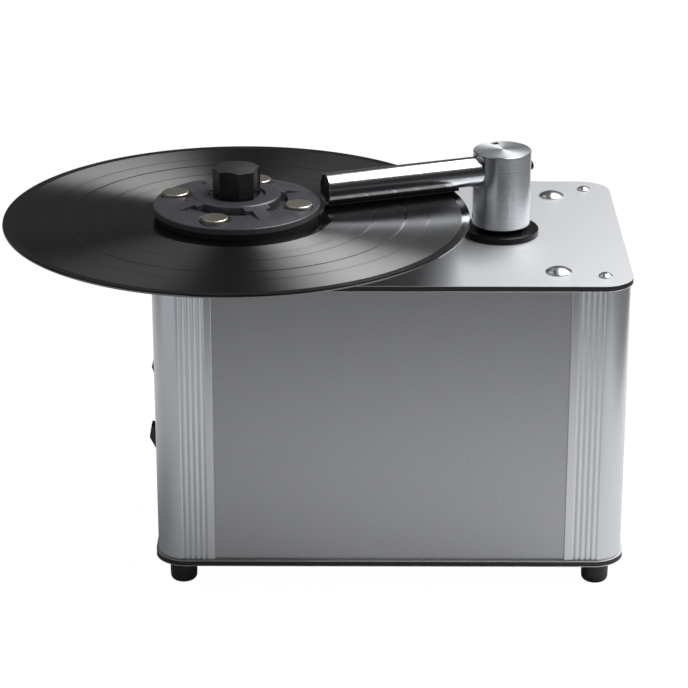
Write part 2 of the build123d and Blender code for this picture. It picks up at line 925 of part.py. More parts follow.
def flange_screws():
    screws = []
    for x, y in flange_screw_places():
        screw = countersink(x, y, flange_top_z, 0)
        screw += cyl(x, y, flange_top_z - flange_screw_length, flange_screw_shank_r, flange_screw_length)
        recess = cross_recess(x, y, flange_top_z, drive_width / 2, flange_drive_length, drive_depth)
        screws.append(screw - recess)
    return group(screws)


def arm_bush():
    """Plain bush in which the riser turns and slides."""
    z = deck_z - bush_reach
    return tube(post_x, post_y, z, bush_r, riser_r + running_fit, flange_top_z - z)


def bush_nut():
    z = body_top_z - nut_height
    hexagon = RegularPolygon(nut_across / 2, 6, major_radius=False)
    return extrude(Pos(post_x, post_y, z) * (hexagon - Circle(bush_r)), nut_height)


def swivel_collar():
    """Washer between the flange and the post that turns with the arm."""
    return tube(post_x, post_y, flange_top_z, swivel_r, riser_r + soft_gap, swivel_gap)


def riser_pipe():
    z = deck_z - riser_reach
    top = tube_z - tube_r - soft_gap
    return tube(post_x, post_y, z, riser_r, riser_bore_r, top - z)


def arm_post():
    """Turned post, bored for the riser, the tube and their screws."""
    post = cyl(post_x, post_y, post_bottom_z, post_r, post_top_z - post_bottom_z)
    post = chamfer(post.edges().filter_by(GeomType.CIRCLE), post_edge)
    riser_top = tube_z - tube_r - soft_gap
    post -= cyl(post_x, post_y, post_bottom_z, riser_r, riser_top - post_bottom_z)
    post -= cyl(post_x, post_y, riser_top, riser_bore_r, tube_z - riser_top)
    post -= arm_place * rod_x(-tube_tail, 2 * post_r, tube_r)
    post -= arm_place * rod_x(-2 * post_r, 0, tail_screw_r + tap_clearance)
    spot = post_r - post_edge / 2
    post -= arm_place * rod_x(-2 * post_r, -spot, tail_head_r + hole_clearance)
    x, y = set_screw_place()
    depth = set_screw_length + set_screw_sink
    post -= cyl(x, y, post_top_z - depth, set_screw_r, depth)
    post -= side_screw_place() * rod_x(0, 2 * post_r, side_screw_r)
    return post


def set_screw_place():
    return ring_points(post_x, post_y, set_screw_circle_r, [set_screw_azimuth])[0]


def side_screw_place():
    return Pos(post_x, post_y, post_bottom_z + side_screw_height) * Rot(0, 0, side_screw_azimuth)


def post_screws():
    """Two grub screws and the screw through the back of the post into the tube."""
    x, y = set_screw_place()
    z = post_top_z - set_screw_sink - set_screw_length
    socket = RegularPolygon(set_screw_r / 2, 6)
    upper = cyl(x, y, z, set_screw_r, set_screw_length)
    upper -= extrude(Pos(x, y, z + set_screw_length / 2) * socket, set_screw_length / 2)
    tip = post_r - 2 * set_screw_sink
    lower = rod_x(riser_r, tip, side_screw_r)
    lower -= extrude(Plane.YZ.offset(tip - drive_depth) * RegularPolygon(side_screw_r / 2, 6), drive_depth)
    return group([upper, side_screw_place() * lower, arm_place * tail_screw()])


def suction_tube():
    """Thin tube, slotted underneath, open to the riser inside the post."""
    body = rod_x(-tube_tail, tube_length, tube_r) - rod_x(-tube_tail, tube_length, tube_r - tube_wall)
    half = tube_slot_width / 2
    slot_end = tube_length - plug_recess - plug_length - tube_slot_margin
    body -= slab(tube_slot_start, slot_end, -half, half, -2 * tube_r, 0)
    body -= Pos(0, 0, -tube_r) * Cylinder(riser_bore_r, 2 * tube_r)
    return arm_place * body


def tube_plug():
    """Black plug, set a little inside the free end."""
    end = tube_length - plug_recess
    return arm_place * rod_x(end - plug_length, end, tube_r - tube_wall)


def tube_anchor():
    """Threaded slug that closes the inner end of the tube."""
    slug = rod_x(-tube_tail, -riser_bore_r - soft_gap, tube_r - tube_wall)
    return arm_place * (slug - rod_x(-tube_tail, 0, tail_screw_r))


def tail_screw():
    """Screw through the back of the post that pulls the tube home, along the tube's axis."""
    seat = -post_r + post_edge / 2
    head = rod_x(seat - tail_head_height, seat, tail_head_r)
    head = fillet(head.edges().sort_by(Axis.X)[0], edge_chamfer)
    socket = RegularPolygon(tail_head_r / 2, 6)
    head -= extrude(Plane.YZ.offset(seat - tail_head_height) * socket, drive_depth)
    return head + rod_x(seat, -riser_bore_r - soft_gap, tail_screw_r)


def velvet_strips():
    """Two soft strips along the slot that ride just over the record."""
    start = tube_slot_start - tube_slot_margin
    end = tube_length - strip_margin
    outer = rod_x(start, end, tube_r + strip_thickness) - rod_x(start, end, tube_r)
    low = -2 * tube_r
    left = outer & slab(start, end, strip_inner, strip_outer, low, 0)
    right = outer & slab(start, end, -strip_outer, -strip_inner, low, 0)
    return group([arm_place * left, arm_place * right])


# ---------------------------------------------------------------- tank, hoses, drain
def tank_outline(inset):
    width = tank_right - tank_left - 2 * inset
    depth = tank_back - tank_front - 2 * inset
    centre = Pos((tank_left + tank_right) / 2, (tank_front + tank_back) / 2)
    return centre * RectangleRounded(width, depth, tank_round - inset / 2)


def waste_tank():
    body = extrude(Pos(0, 0, tank_bottom) * tank_outline(0), tank_height)
    body -= extrude(Pos(0, 0, tank_bottom + tank_wall) * tank_outline(tank_wall), tank_height)
    wall_y = tank_back
    return body - rod_y(drain_x, drain_z, wall_y - tank_wall, wall_y, drain_bore_r)


def tank_lid():
    """Lid with a rebate into the tank and two hose spigots."""
    lid = extrude(Pos(0, 0, tank_top_z) * tank_outline(0), lid_thickness)
    lid += extrude(Pos(0, 0, tank_top_z - lid_rebate) * tank_outline(tank_wall + slide_clearance), lid_rebate)
    for x, y, radius in ((post_x, post_y, bush_r), (outlet_x, outlet_y, outlet_r)):
        lid += cyl(x, y, lid_top_z, radius, spigot_height)
        depth = spigot_height + lid_thickness + lid_rebate
        lid -= cyl(x, y, tank_top_z - lid_rebate, radius - spigot_wall, depth)
    return lid


def suction_hose():
    """Short hose from the arm bush down to the tank lid."""
    top = deck_z - bush_reach + spigot_height
    return tube(post_x, post_y, lid_top_z, bush_r + hose_wall, bush_r, top - lid_top_z)


def vacuum_hose():
    """Hose from the tank lid over to the inlet on top of the blower."""
    crown = body_top_z - hose_crown_drop
    blower_inlet_z = blower_top_z
    path = FilletPolyline(
        (outlet_x, outlet_y, lid_top_z),
        (outlet_x, outlet_y, crown),
        (blower_x, blower_y, crown),
        (blower_x, blower_y, blower_inlet_z),
        radius=hose_bend,
    )
    section = Pos(outlet_x, outlet_y, lid_top_z) * (Circle(outlet_r + hose_wall) - Circle(outlet_r))
    return sweep(section, path=path)


def drain_spout():
    """Outlet pipe from the foot of the tank through the rear panel."""
    body = rod_y(drain_x, drain_z, tank_back, drain_tip_y, drain_r)
    return body - rod_y(drain_x, drain_z, tank_back, drain_tip_y, drain_bore_r)


def drain_cap():
    """Push-on cap with a fluted rim."""
    outer_r = drain_r + cap_wall
    start = drain_tip_y - cap_depth
    cap = rod_y(drain_x, drain_z, start, cap_tip_y, outer_r)
    cap = fillet(cap.edges().sort_by(Axis.Y)[-1], edge_chamfer)
    for x, z in ring_points(drain_x, drain_z, outer_r + running_fit, around(cap_flutes, 0)):
        cap -= rod_y(x, z, start, cap_tip_y, edge_chamfer)
    return cap - rod_y(drain_x, drain_z, start, drain_tip_y, drain_r + running_fit)


# ---------------------------------------------------------------- blower
def blower_pads():
    places = ring_points(blower_x, blower_y, blower_pad_circle_r, around(blower_pad_count, 90))
    return group(cyl(x, y, body_z, blower_pad_r, blower_pad_height) for x, y in places)


def blower_motor():
    motor = cyl(blower_x, blower_y, blower_motor_z, blower_motor_r, blower_motor_height)
    bore_z = blower_z - blower_motor_height / 2
    return motor - cyl(blower_x, blower_y, bore_z, impeller_shaft_r + running_fit, blower_motor_height / 2)


def blower_housing():
    """Fan scroll with an inlet spigot on top and a duct to the rear panel."""
    body = cyl(blower_x, blower_y, blower_z, blower_r, blower_height)
    half = duct_width / 2
    duct_end = panel_face_y - panel_thickness
    body += slab(duct_x - half, duct_x + half, blower_y, duct_end, duct_z, duct_z + duct_height)
    inner_height = blower_height - 2 * blower_wall
    body -= cyl(blower_x, blower_y, blower_z + blower_wall, blower_r - blower_wall, inner_height)
    body -= slab(
        duct_x - half + blower_wall, duct_x + half - blower_wall,
        blower_y, duct_end,
        duct_z + blower_wall, duct_z + duct_height - blower_wall,
    )
    body += cyl(blower_x, blower_y, blower_top_z, outlet_r, spigot_height)
    inlet_bottom = blower_top_z - blower_wall
    body -= cyl(blower_x, blower_y, inlet_bottom, outlet_r - spigot_wall, spigot_height + blower_wall)
    return body - cyl(blower_x, blower_y, blower_z, impeller_shaft_r + soft_gap, blower_wall)


def blower_impeller():
    """Fan wheel: disc, hub, radial blades and its shaft down into the motor."""
    disc_z = blower_z + blower_wall + impeller_floor_gap
    wheel = cyl(blower_x, blower_y, disc_z, impeller_r, impeller_disc)
    wheel += cyl(blower_x, blower_y, disc_z, impeller_hub_r, impeller_height / 2)
    blade_length = impeller_r - impeller_hub_r
    blade_centre = (impeller_r + impeller_hub_r) / 2
    for angle in around(impeller_blades, 0):
        blade = Box(blade_length, blade_thickness, impeller_height)
        place = Pos(blower_x, blower_y, disc_z + impeller_height / 2)
        wheel += place * Rot(0, 0, angle) * Pos(blade_centre - edge_chamfer, 0, 0) * blade
    shaft_z = blower_z - blower_motor_height / 2 + soft_gap
    return wheel + cyl(blower_x, blower_y, shaft_z, impeller_shaft_r, disc_z - shaft_z)


# ---------------------------------------------------------------- rear fittings
def exhaust_grille():
    """Louvred cover on the rear panel over the blower's duct."""
    x0 = duct_x - grille_width / 2
    x1 = duct_x + grille_width / 2
    middle_z = duct_z + duct_height / 2
    z0 = middle_z - grille_height / 2
    z1 = middle_z + grille_height / 2
    grille = slab(x0, x1, panel_face_y, panel_face_y + grille_thickness, z0, z1)
    grille = chamfer(grille.faces().sort_by(Axis.Y)[-1].edges(), edge_chamfer)
    half = duct_width / 2
    pitch = duct_height / grille_slots
    for i in range(grille_slots):
        slot_z = duct_z + (i + 0.5) * pitch
        grille -= slab(
            duct_x - half, duct_x + half,
            panel_face_y, panel_face_y + grille_thickness,
            slot_z - grille_slot_width / 2, slot_z + grille_slot_width / 2,
        )
    return grille


def inlet_screw_places():
    half = inlet_screw_pitch / 2
    return [(inlet_x - half, inlet_height), (inlet_x + half, inlet_height)]


def mains_inlet():
    """Appliance inlet: flange outside, body inside, recess for the connector."""
    y_out = panel_face_y + inlet_flange_thickness
    shape = RectangleRounded(inlet_flange_width, inlet_flange_height, inlet_flange_round)
    facing = Plane((inlet_x, panel_face_y, inlet_height), x_dir=(1, 0, 0), z_dir=(0, 1, 0))
    body = extrude(facing * shape, inlet_flange_thickness)
    half_width = inlet_body_width / 2
    half_height = inlet_body_height / 2
    body += slab(
        inlet_x - half_width, inlet_x + half_width,
        panel_face_y - inlet_body_depth, panel_face_y,
        inlet_height - half_height, inlet_height + half_height,
    )
    half_width = inlet_socket_width / 2
    half_height = inlet_socket_height / 2
    body -= slab(
        inlet_x - half_width, inlet_x + half_width,
        y_out - inlet_socket_depth, y_out,
        inlet_height - half_height, inlet_height + half_height,
    )
    for x, z in inlet_screw_places():
        body -= rod_y(x, z, panel_face_y, y_out, inlet_screw_r)
    return body


def inlet_pins():
    y_out = panel_face_y + inlet_flange_thickness
    pins = []
    for offset, rise in ((-inlet_pin_pitch, 0), (0, inlet_earth_rise), (inlet_pin_pitch, 0)):
        x = inlet_x + offset
        z = inlet_height + rise - inlet_earth_rise / 2
        pins.append(slab(
            x - inlet_pin_width / 2, x + inlet_pin_width / 2,
            y_out - inlet_socket_depth, y_out - inlet_pin_recess,
            z - inlet_pin_height / 2, z + inlet_pin_height / 2,
        ))
    return group(pins)


def inlet_screws():
    y_out = panel_face_y + inlet_flange_thickness
    screws = []
    for x, z in inlet_screw_places():
        head = rod_y(x, z, y_out, y_out + inlet_screw_r, inlet_screw_head_r)
        screws.append(head + rod_y(x, z, panel_face_y - panel_thickness, y_out, inlet_screw_r))
    return group(screws)


# ---------------------------------------------------------------- switches
def switch_place(z):
    """Local frame of a switch: X points out of the left panel, Z stays up."""
    return Pos(-panel_face_x, switch_y, z) * Rot(0, 0, 180)


def switch_body(z):
    """Bezel on the panel and a body behind it, open for the rocker."""
    half_w = bezel_width / 2
    half_l = bezel_length / 2
    bezel = slab(0, bezel_thickness, -half_w, half_w, -half_l, half_l)
    bezel = chamfer(bezel.faces().sort_by(Axis.X)[-1].edges(), edge_chamfer)
    half_w -= switch_body_margin
    half_l -= switch_body_margin
    body = bezel + slab(-switch_body_depth, 0, -half_w, half_w, -half_l, half_l)
    window_w = rocker_width / 2 + rocker_side_gap
    window_l = rocker_half_length + rocker_end_gap
    body -= slab(-switch_cavity, bezel_thickness, -window_w, window_w, -window_l, window_l)
    bearing = window_w + trunnion_engagement + running_fit
    return switch_place(z) * (body - rod_y(0, 0, -bearing, bearing, trunnion_r + running_fit))


def rocker(z, ridge, tilt):
    """Rocker with a raised ridge across its middle, turned about its pivot."""
    flank = ridge - rocker_flank
    section = Polygon(
        (-rocker_root, -rocker_root_half),
        (flank, -rocker_half_length),
        (ridge, 0),
        (flank, rocker_half_length),
        (-rocker_root, rocker_root_half),
        align=None,
    )
    body = Pos(0, rocker_width / 2, 0) * extrude(Plane.XZ * section, rocker_width)
    reach = rocker_width / 2 + rocker_side_gap + trunnion_engagement
    body += rod_y(0, 0, -reach, reach, trunnion_r)
    return switch_place(z) * Rot(0, tilt, 0) * body


def switch_bodies():
    return group([switch_body(rotation_switch_z), switch_body(vacuum_switch_z)])


# ---------------------------------------------------------------- assembly
profile_rear_right, profile_rear_left, profile_front_right, profile_front_left = corner_profiles()

nodes = {
    "top_plate_core": top_plate_core(),
    "top_plate_skins": top_plate_skins(),
    "base_plate_core": base_plate_core(),
    "base_plate_skins": base_plate_skins(),
    "corner_profile_front_left": profile_front_left,
    "corner_profile_front_right": profile_front_right,
    "corner_profile_rear_left": profile_rear_left,
    "corner_profile_rear_right": profile_rear_right,
    "front_panel": front_panel(),
    "rear_panel": rear_panel(),
    "left_panel": left_panel(),
    "right_panel": right_panel(),
    "feet": feet(),
    "foot_screws": foot_screws(),
    "top_corner_screws": top_corner_screws(),
    "hanger_screws": hanger_screws(),
    "hanger_strap": hanger_strap(),
    "bearing_housing": bearing_housing(),
    "spindle_bearings": spindle_bearings(),
    "housing_screws": housing_screws(),
    "motor_standoffs": motor_standoffs(),
    "gearbox": gearbox(),
    "gear_motor": gear_motor(),
    "spindle": spindle(),
    "platter_hub": platter_hub(),
    "platter_mat": platter_mat(),
    "record": record(),
    "clamp_disc": clamp_disc(),
    "clamp_weights": clamp_weights(),
    "clamp_seal": clamp_seal(),
    "clamp_knob": clamp_knob(),
    "knob_insert": knob_insert(),
    "arm_flange": arm_flange(),
    "flange_screws": flange_screws(),
    "arm_bush": arm_bush(),
    "bush_nut": bush_nut(),
    "swivel_collar": swivel_collar(),
    "riser_pipe": riser_pipe(),
    "arm_post": arm_post(),
    "post_screws": post_screws(),
    "suction_tube": suction_tube(),
    "tube_plug": tube_plug(),
    "tube_anchor": tube_anchor(),
    "velvet_strips": velvet_strips(),
    "waste_tank": waste_tank(),
    "tank_lid": tank_lid(),
    "hoses": group([suction_hose(), vacuum_hose()]),
    "drain_spout": drain_spout(),
    "drain_cap": drain_cap(),
    "blower_pads": blower_pads(),
    "blower_motor": blower_motor(),
    "blower_housing": blower_housing(),
    "blower_impeller": blower_impeller(),
    "exhaust_grille": exhaust_grille(),
    "mains_inlet": mains_inlet(),
    "inlet_pins": inlet_pins(),
    "inlet_screws": inlet_screws(),
    "switch_bodies": switch_bodies(),
    "rotation_rocker": rocker(rotation_switch_z, rotation_ridge, 0),
    "vacuum_rocker": rocker(vacuum_switch_z, vacuum_ridge, vacuum_tilt),
}

os.makedirs("parts", exist_ok=True)
for name, shape in nodes.items():
    export_step(Pos(-origin_x, -origin_y, 0) * shape, os.path.join("parts", name + ".step"))
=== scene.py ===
import bmesh
import bpy
from math import asin, atan2, cos, hypot, pi, radians, sin
from mathutils import Matrix, Vector


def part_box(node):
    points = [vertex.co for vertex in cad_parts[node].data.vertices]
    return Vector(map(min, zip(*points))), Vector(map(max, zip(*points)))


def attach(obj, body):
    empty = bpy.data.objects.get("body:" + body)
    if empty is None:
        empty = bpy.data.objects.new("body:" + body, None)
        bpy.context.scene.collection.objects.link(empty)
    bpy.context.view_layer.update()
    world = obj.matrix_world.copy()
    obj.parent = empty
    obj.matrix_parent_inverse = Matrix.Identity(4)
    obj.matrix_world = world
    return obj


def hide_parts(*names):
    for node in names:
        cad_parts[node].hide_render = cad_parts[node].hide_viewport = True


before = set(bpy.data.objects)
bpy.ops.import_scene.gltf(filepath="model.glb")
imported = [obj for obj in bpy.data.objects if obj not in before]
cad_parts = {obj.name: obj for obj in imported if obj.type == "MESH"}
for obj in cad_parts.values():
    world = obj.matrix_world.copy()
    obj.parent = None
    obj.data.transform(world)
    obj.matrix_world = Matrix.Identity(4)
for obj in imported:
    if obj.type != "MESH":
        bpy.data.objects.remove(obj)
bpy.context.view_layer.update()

scene = bpy.context.scene
MM = 0.001

# ---------------------------------------------------------------- camera
# A long lens in front of the case, a little above the record, looking down at it.
camera_place = Vector((0.02573, -1.64087, 0.79393))
camera_pitch = radians(68.645)
camera_yaw = radians(0.316)
camera_data = bpy.data.cameras.new("camera")
camera_data.lens = 138.228
camera_data.sensor_width = 36.0
camera = bpy.data.objects.new("camera", camera_data)
camera.location = camera_place
camera.rotation_euler = (camera_pitch, 0.0, camera_yaw)
scene.collection.objects.link(camera)
scene.camera = camera

# ---------------------------------------------------------------- studio
# A pale table in a dim room, with a white backdrop as the camera sees it. Two large soft
# boxes hang over the machine, a strong one at its right and a weak one at its left, with
# a dark gap between them. Polished and satin metal shows the room's grey walls.
def linear(code):
    """sRGB hex colour as linear RGBA."""
    channels = [int(code[i:i + 2], 16) / 255 for i in (1, 3, 5)]
    return [c / 12.92 if c <= 0.04045 else ((c + 0.055) / 1.055) ** 2.4 for c in channels] + [1.0]


def add(tree, kind, values=(), links=(), **settings):
    """One node with its settings, the values of its sockets and what is linked to them."""
    node = tree.nodes.new(kind)
    for key, value in settings.items():
        setattr(node, key, value)
    for socket, value in dict(values).items():
        node.inputs[socket].default_value = value
    for socket, source in dict(links).items():
        tree.links.new(source, node.inputs[socket])
    return node


# Strength of the room's plain light, then what metal mirrors: a ceiling, paler towards the
# rear, and from the horizon down the walls, by degrees from straight ahead of the machine.
room_light = 0.30
ceiling = 0.022
ceiling_blend = 0.06
rear_wall = 0.075
rear_start = 0.5
rear_full = 0.9
walls = [
    (-180, (0.16, 0.16, 0.16)), (-140, (0.22, 0.22, 0.23)), (-112, (0.22, 0.22, 0.23)),
    (-88, (0.20, 0.20, 0.21)), (-82, (0.50, 0.53, 0.58)), (-23, (0.58, 0.61, 0.66)),
    (-20, (0.09, 0.09, 0.095)), (46, (0.09, 0.09, 0.095)), (56, (0.23, 0.235, 0.24)),
    (120, (0.23, 0.235, 0.24)), (140, (0.12, 0.12, 0.12)), (180, (0.12, 0.12, 0.12))]
world = bpy.data.worlds.new("studio")
world.use_nodes = True
scene.world = world
sky = world.node_tree
sky.nodes.clear()
ray = add(sky, "ShaderNodeLightPath")
facing = add(sky, "ShaderNodeTexCoord")
split = add(sky, "ShaderNodeSeparateXYZ", links={0: facing.outputs["Generated"]})
front = add(sky, "ShaderNodeMath", {1: -1.0}, {0: split.outputs["Y"]}, operation="MULTIPLY")
bearing = add(sky, "ShaderNodeMath", links={
    0: split.outputs["X"], 1: front.outputs[0]}, operation="ARCTAN2")
turn = add(sky, "ShaderNodeMapRange", {"From Min": -pi, "From Max": pi}, {
    "Value": bearing.outputs[0]})
wall = add(sky, "ShaderNodeValToRGB", links={0: turn.outputs[0]})
stops = wall.color_ramp.elements
stops.remove(stops[1])
stops[0].color = (*walls[0][1], 1)
for angle, shade in walls[1:]:
    stops.new((angle + 180) / 360).color = (*shade, 1)
rise = add(sky, "ShaderNodeMapRange", {"From Min": 0.0, "From Max": ceiling_blend}, {
    "Value": split.outputs["Z"]})
above = add(sky, "ShaderNodeMapRange", {
    "From Min": rear_start, "From Max": rear_full, "To Min": ceiling, "To Max": rear_wall}, {
    "Value": split.outputs["Y"]})
round_room = add(sky, "ShaderNodeMix", links={
    0: rise.outputs[0], 6: wall.outputs[0], 7: above.outputs[0]}, data_type="RGBA")
room = add(sky, "ShaderNodeBackground", {"Color": (1, 1, 1, 1), "Strength": room_light})
seen = add(sky, "ShaderNodeBackground", {"Color": (1, 1, 1, 1), "Strength": 1.0})
mirrored = add(sky, "ShaderNodeBackground", {"Strength": 1.0}, {"Color": round_room.outputs[2]})
either = add(sky, "ShaderNodeMath", links={
    0: ray.outputs["Is Glossy Ray"], 1: ray.outputs["Is Transmission Ray"]}, operation="MAXIMUM")
gloss = add(sky, "ShaderNodeMixShader", links={
    0: either.outputs[0], 1: room.outputs[0], 2: mirrored.outputs[0]})
whole = add(sky, "ShaderNodeMixShader", links={
    0: ray.outputs["Is Camera Ray"], 1: gloss.outputs[0], 2: seen.outputs[0]})
add(sky, "ShaderNodeOutputWorld", links={"Surface": whole.outputs[0]})
scene.view_settings.view_transform = "Standard"

# The table glows white to the camera, with a little of the machine's shadow left on it.
paper_glow = 1.05
shadow_kept = 0.06
table_left = 0.62
table_right = 0.55
table_front = -0.50
table_rear = 2.4
table_mesh = bpy.data.meshes.new("table")
table_mesh.from_pydata(
    [(-table_left, table_front, 0), (table_right, table_front, 0),
     (table_right, table_rear, 0), (-table_left, table_rear, 0)], [], [(0, 1, 2, 3)])
table = bpy.data.objects.new("table", table_mesh)
scene.collection.objects.link(table)
white = bpy.data.materials.new("white_paper_sweep")
white.use_nodes = True
paper = white.node_tree
paper.nodes.clear()
paper_ray = add(paper, "ShaderNodeLightPath")
paper_body = add(paper, "ShaderNodeBsdfDiffuse", {"Color": linear("#DCDCDC")})
paper_seen = add(paper, "ShaderNodeEmission", {"Color": (1, 1, 1, 1), "Strength": paper_glow})
paper_half = add(paper, "ShaderNodeMixShader", {0: shadow_kept}, {
    1: paper_seen.outputs[0], 2: paper_body.outputs[0]})
paper_mix = add(paper, "ShaderNodeMixShader", links={
    0: paper_ray.outputs["Is Camera Ray"], 1: paper_body.outputs[0], 2: paper_half.outputs[0]})
add(paper, "ShaderNodeOutputMaterial", links={"Surface": paper_mix.outputs[0]})
table_mesh.materials.append(white)


def soft_box(name, place, target, width, height, power):
    """Rectangular lamp aimed at a point."""
    data = bpy.data.lights.new(name, "AREA")
    data.shape = "RECTANGLE"
    data.size = width
    data.size_y = height
    data.energy = power
    lamp = bpy.data.objects.new(name, data)
    lamp.location = place
    lamp.rotation_euler = (Vector(target) - Vector(place)).to_track_quat("-Z", "Y").to_euler()
    scene.collection.objects.link(lamp)


box_height = 1.45
box_width = 1.1
box_depth = 1.8
box_rear = 0.33
box_reach = 0.85
gap_middle = -0.02
right_power = 39.5
left_power = 3.4
for name, x, power in (("right_box", gap_middle + box_reach, right_power),
                       ("left_box", gap_middle - box_reach, left_power)):
    soft_box(name, (x, box_rear, box_height), (x, box_rear, 0), box_width, box_depth, power)

# ---------------------------------------------------------------- case plates
# Top and bottom of the case are composite sheet: two thin anodised aluminium skins on a
# black polyethylene core, cut to one outline with rounded corners. The cut edge shows the
# core as a black line between two bright ones.
def material(name):
    """New material with its Principled shader."""
    made = bpy.data.materials.new(name)
    made.use_nodes = True
    tree = made.node_tree
    tree.nodes.clear()
    shader = add(tree, "ShaderNodeBsdfPrincipled")
    add(tree, "ShaderNodeOutputMaterial", links={"Surface": shader.outputs[0]})
    return made, tree, shader


def set_values(shader, **values):
    """Values that hold all over the surface, on the shader's own sockets."""
    for key, value in values.items():
        shader.inputs[key.replace("_", " ")].default_value = value


def textured(tree, shader, noise, low, high, rough_low, rough_high, bump):
    """Colour, roughness and height of a surface, all after one noise."""
    tint = add(tree, "ShaderNodeValToRGB", links={0: noise})
    tint.color_ramp.elements[0].position = 0.3
    tint.color_ramp.elements[0].color = linear(low)
    tint.color_ramp.elements[1].position = 0.7
    tint.color_ramp.elements[1].color = linear(high)
    tree.links.new(tint.outputs[0], shader.inputs["Base Color"])
    rough = add(tree, "ShaderNodeMapRange", {
        "From Min": 0.3, "From Max": 0.7, "To Min": rough_low, "To Max": rough_high}, {
        "Value": noise})
    tree.links.new(rough.outputs[0], shader.inputs["Roughness"])
    height = add(tree, "ShaderNodeBump", {"Strength": 1.0, "Distance": bump}, {"Height": noise})
    tree.links.new(height.outputs[0], shader.inputs["Normal"])


def grain(tree, shader, size, low, high, rough_low, rough_high, bump, stretch=(1, 1, 1)):
    """Surface with grains of one size, drawn out along an axis by a small stretch."""
    where = add(tree, "ShaderNodeTexCoord")
    turned = add(tree, "ShaderNodeMapping", {"Scale": stretch}, {"Vector": where.outputs["Object"]})
    noise = add(tree, "ShaderNodeTexNoise", {"Scale": 1 / size, "Detail": 2.0}, {
        "Vector": turned.outputs[0]})
    textured(tree, shader, noise.outputs["Fac"], low, high, rough_low, rough_high, bump)


# Bead-blasted and clear-anodised sheet: a pale satin metal. The blasted grain is about
# 0.1 mm and is drawn at 0.7 mm so that it shows.
deck_metal, tree, shader = material("anodised_sheet")
set_values(shader, Metallic=1.0)
grain(tree, shader, 0.7 * MM, "#D6D8DB", "#E1E2E4", 0.50, 0.56, 0.01 * MM)

# Black polyethylene core, sawn: dull and a little rough, with marks of about 0.5 mm.
core_plastic, tree, shader = material("polyethylene_core")
grain(tree, shader, 0.5 * MM, "#161617", "#232325", 0.5, 0.65, 0.02 * MM)


def link_mesh(name, work, finish):
    """Object at the origin from a bmesh, with its material."""
    mesh = bpy.data.meshes.new(name)
    work.to_mesh(mesh)
    work.free()
    mesh.materials.append(finish)
    made = bpy.data.objects.new(name, mesh)
    scene.collection.objects.link(made)
    return made


def smooth(piece, edge, angle=30, weld=False):
    """Small rounds on the sharp edges, smooth shading between them, all as plain mesh."""
    mesh = piece.data
    if weld:
        weld_reach = 0.002 * MM
        flat_within = radians(0.3)
        work = bmesh.new()
        work.from_mesh(mesh)
        bmesh.ops.remove_doubles(work, verts=work.verts, dist=weld_reach)
        bmesh.ops.dissolve_limit(
            work, angle_limit=flat_within, verts=work.verts, edges=work.edges)
        work.to_mesh(mesh)
        work.free()
    if edge:
        bevel = piece.modifiers.new("rounds", "BEVEL")
        bevel.width = edge
        bevel.segments = 2
        bevel.limit_method = "ANGLE"
        bevel.angle_limit = radians(angle)
    for face in mesh.polygons:
        face.use_smooth = True
    mesh.set_sharp_from_angle(angle=radians(angle))
    weigh = piece.modifiers.new("flat_faces", "WEIGHTED_NORMAL")
    weigh.keep_sharp = True
    applied(piece)


def applied(piece):
    """Turns the piece's modifiers into plain mesh."""
    bpy.context.view_layer.update()
    depsgraph = bpy.context.evaluated_depsgraph_get()
    flat = bpy.data.meshes.new_from_object(
        piece.evaluated_get(depsgraph), preserve_all_data_layers=True, depsgraph=depsgraph)
    old = piece.data
    piece.modifiers.clear()
    piece.data = flat
    flat.name = piece.name
    bpy.data.meshes.remove(old)


def joined(name, pieces):
    """One object of several at the origin."""
    work = bmesh.new()
    for piece in pieces:
        work.from_mesh(piece.data)
    finish = pieces[0].data.materials[0]
    for piece in pieces:
        bpy.data.objects.remove(piece)
    return link_mesh(name, work, finish)


def belongs(piece, body, slot, *nodes):
    """Puts the piece under the body that carries it and hides the solids it stands for. The slot is
    not used.
    """
    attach(piece, body)
    if nodes:
        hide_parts(*nodes)


def named_tree(name, **sizes):
    """Geometry Nodes tree with a named input for each size, and its two end nodes."""
    tree = bpy.data.node_groups.new(name, "GeometryNodeTree")
    for label, kind in sizes.items():
        tree.interface.new_socket(label, in_out="INPUT", socket_type="NodeSocket" + kind)
    tree.interface.new_socket("Geometry", in_out="OUTPUT", socket_type="NodeSocketGeometry")
    return tree, add(tree, "NodeGroupInput").outputs, add(tree, "NodeGroupOutput").inputs


def grown(name, tree, centre, **sizes):
    """Plain mesh that a tree makes from its named sizes, moved to its place."""
    piece = bpy.data.objects.new(name, bpy.data.meshes.new(name))
    scene.collection.objects.link(piece)
    nodes = piece.modifiers.new("nodes", "NODES")
    nodes.node_group = tree
    for socket in tree.interface.items_tree:
        if socket.name in sizes:
            nodes[socket.identifier] = sizes[socket.name]
    applied(piece)
    piece.data.transform(Matrix.Translation(centre))
    return piece


rounded_sheet, given, result = named_tree(
    "rounded_sheet", Width="Float", Depth="Float", Thickness="Float", Corner="Float",
    Finish="Material")
rise = add(rounded_sheet, "ShaderNodeCombineXYZ", links={"Z": given["Thickness"]})
upright = add(rounded_sheet, "GeometryNodeCurvePrimitiveLine", links={"End": rise.outputs[0]})
outline = add(rounded_sheet, "GeometryNodeCurvePrimitiveQuadrilateral", links={
    "Width": given["Width"], "Height": given["Depth"]})
eased = add(rounded_sheet, "GeometryNodeFilletCurve", {"Count": 24}, {
    "Curve": outline.outputs[0], "Radius": given["Corner"]}, mode="POLY")
solid = add(rounded_sheet, "GeometryNodeCurveToMesh", {"Fill Caps": True}, {
    "Curve": upright.outputs[0], "Profile Curve": eased.outputs[0]})
coated = add(rounded_sheet, "GeometryNodeSetMaterial", links={
    "Geometry": solid.outputs[0], "Material": given["Finish"]})
rounded_sheet.links.new(coated.outputs[0], result[0])

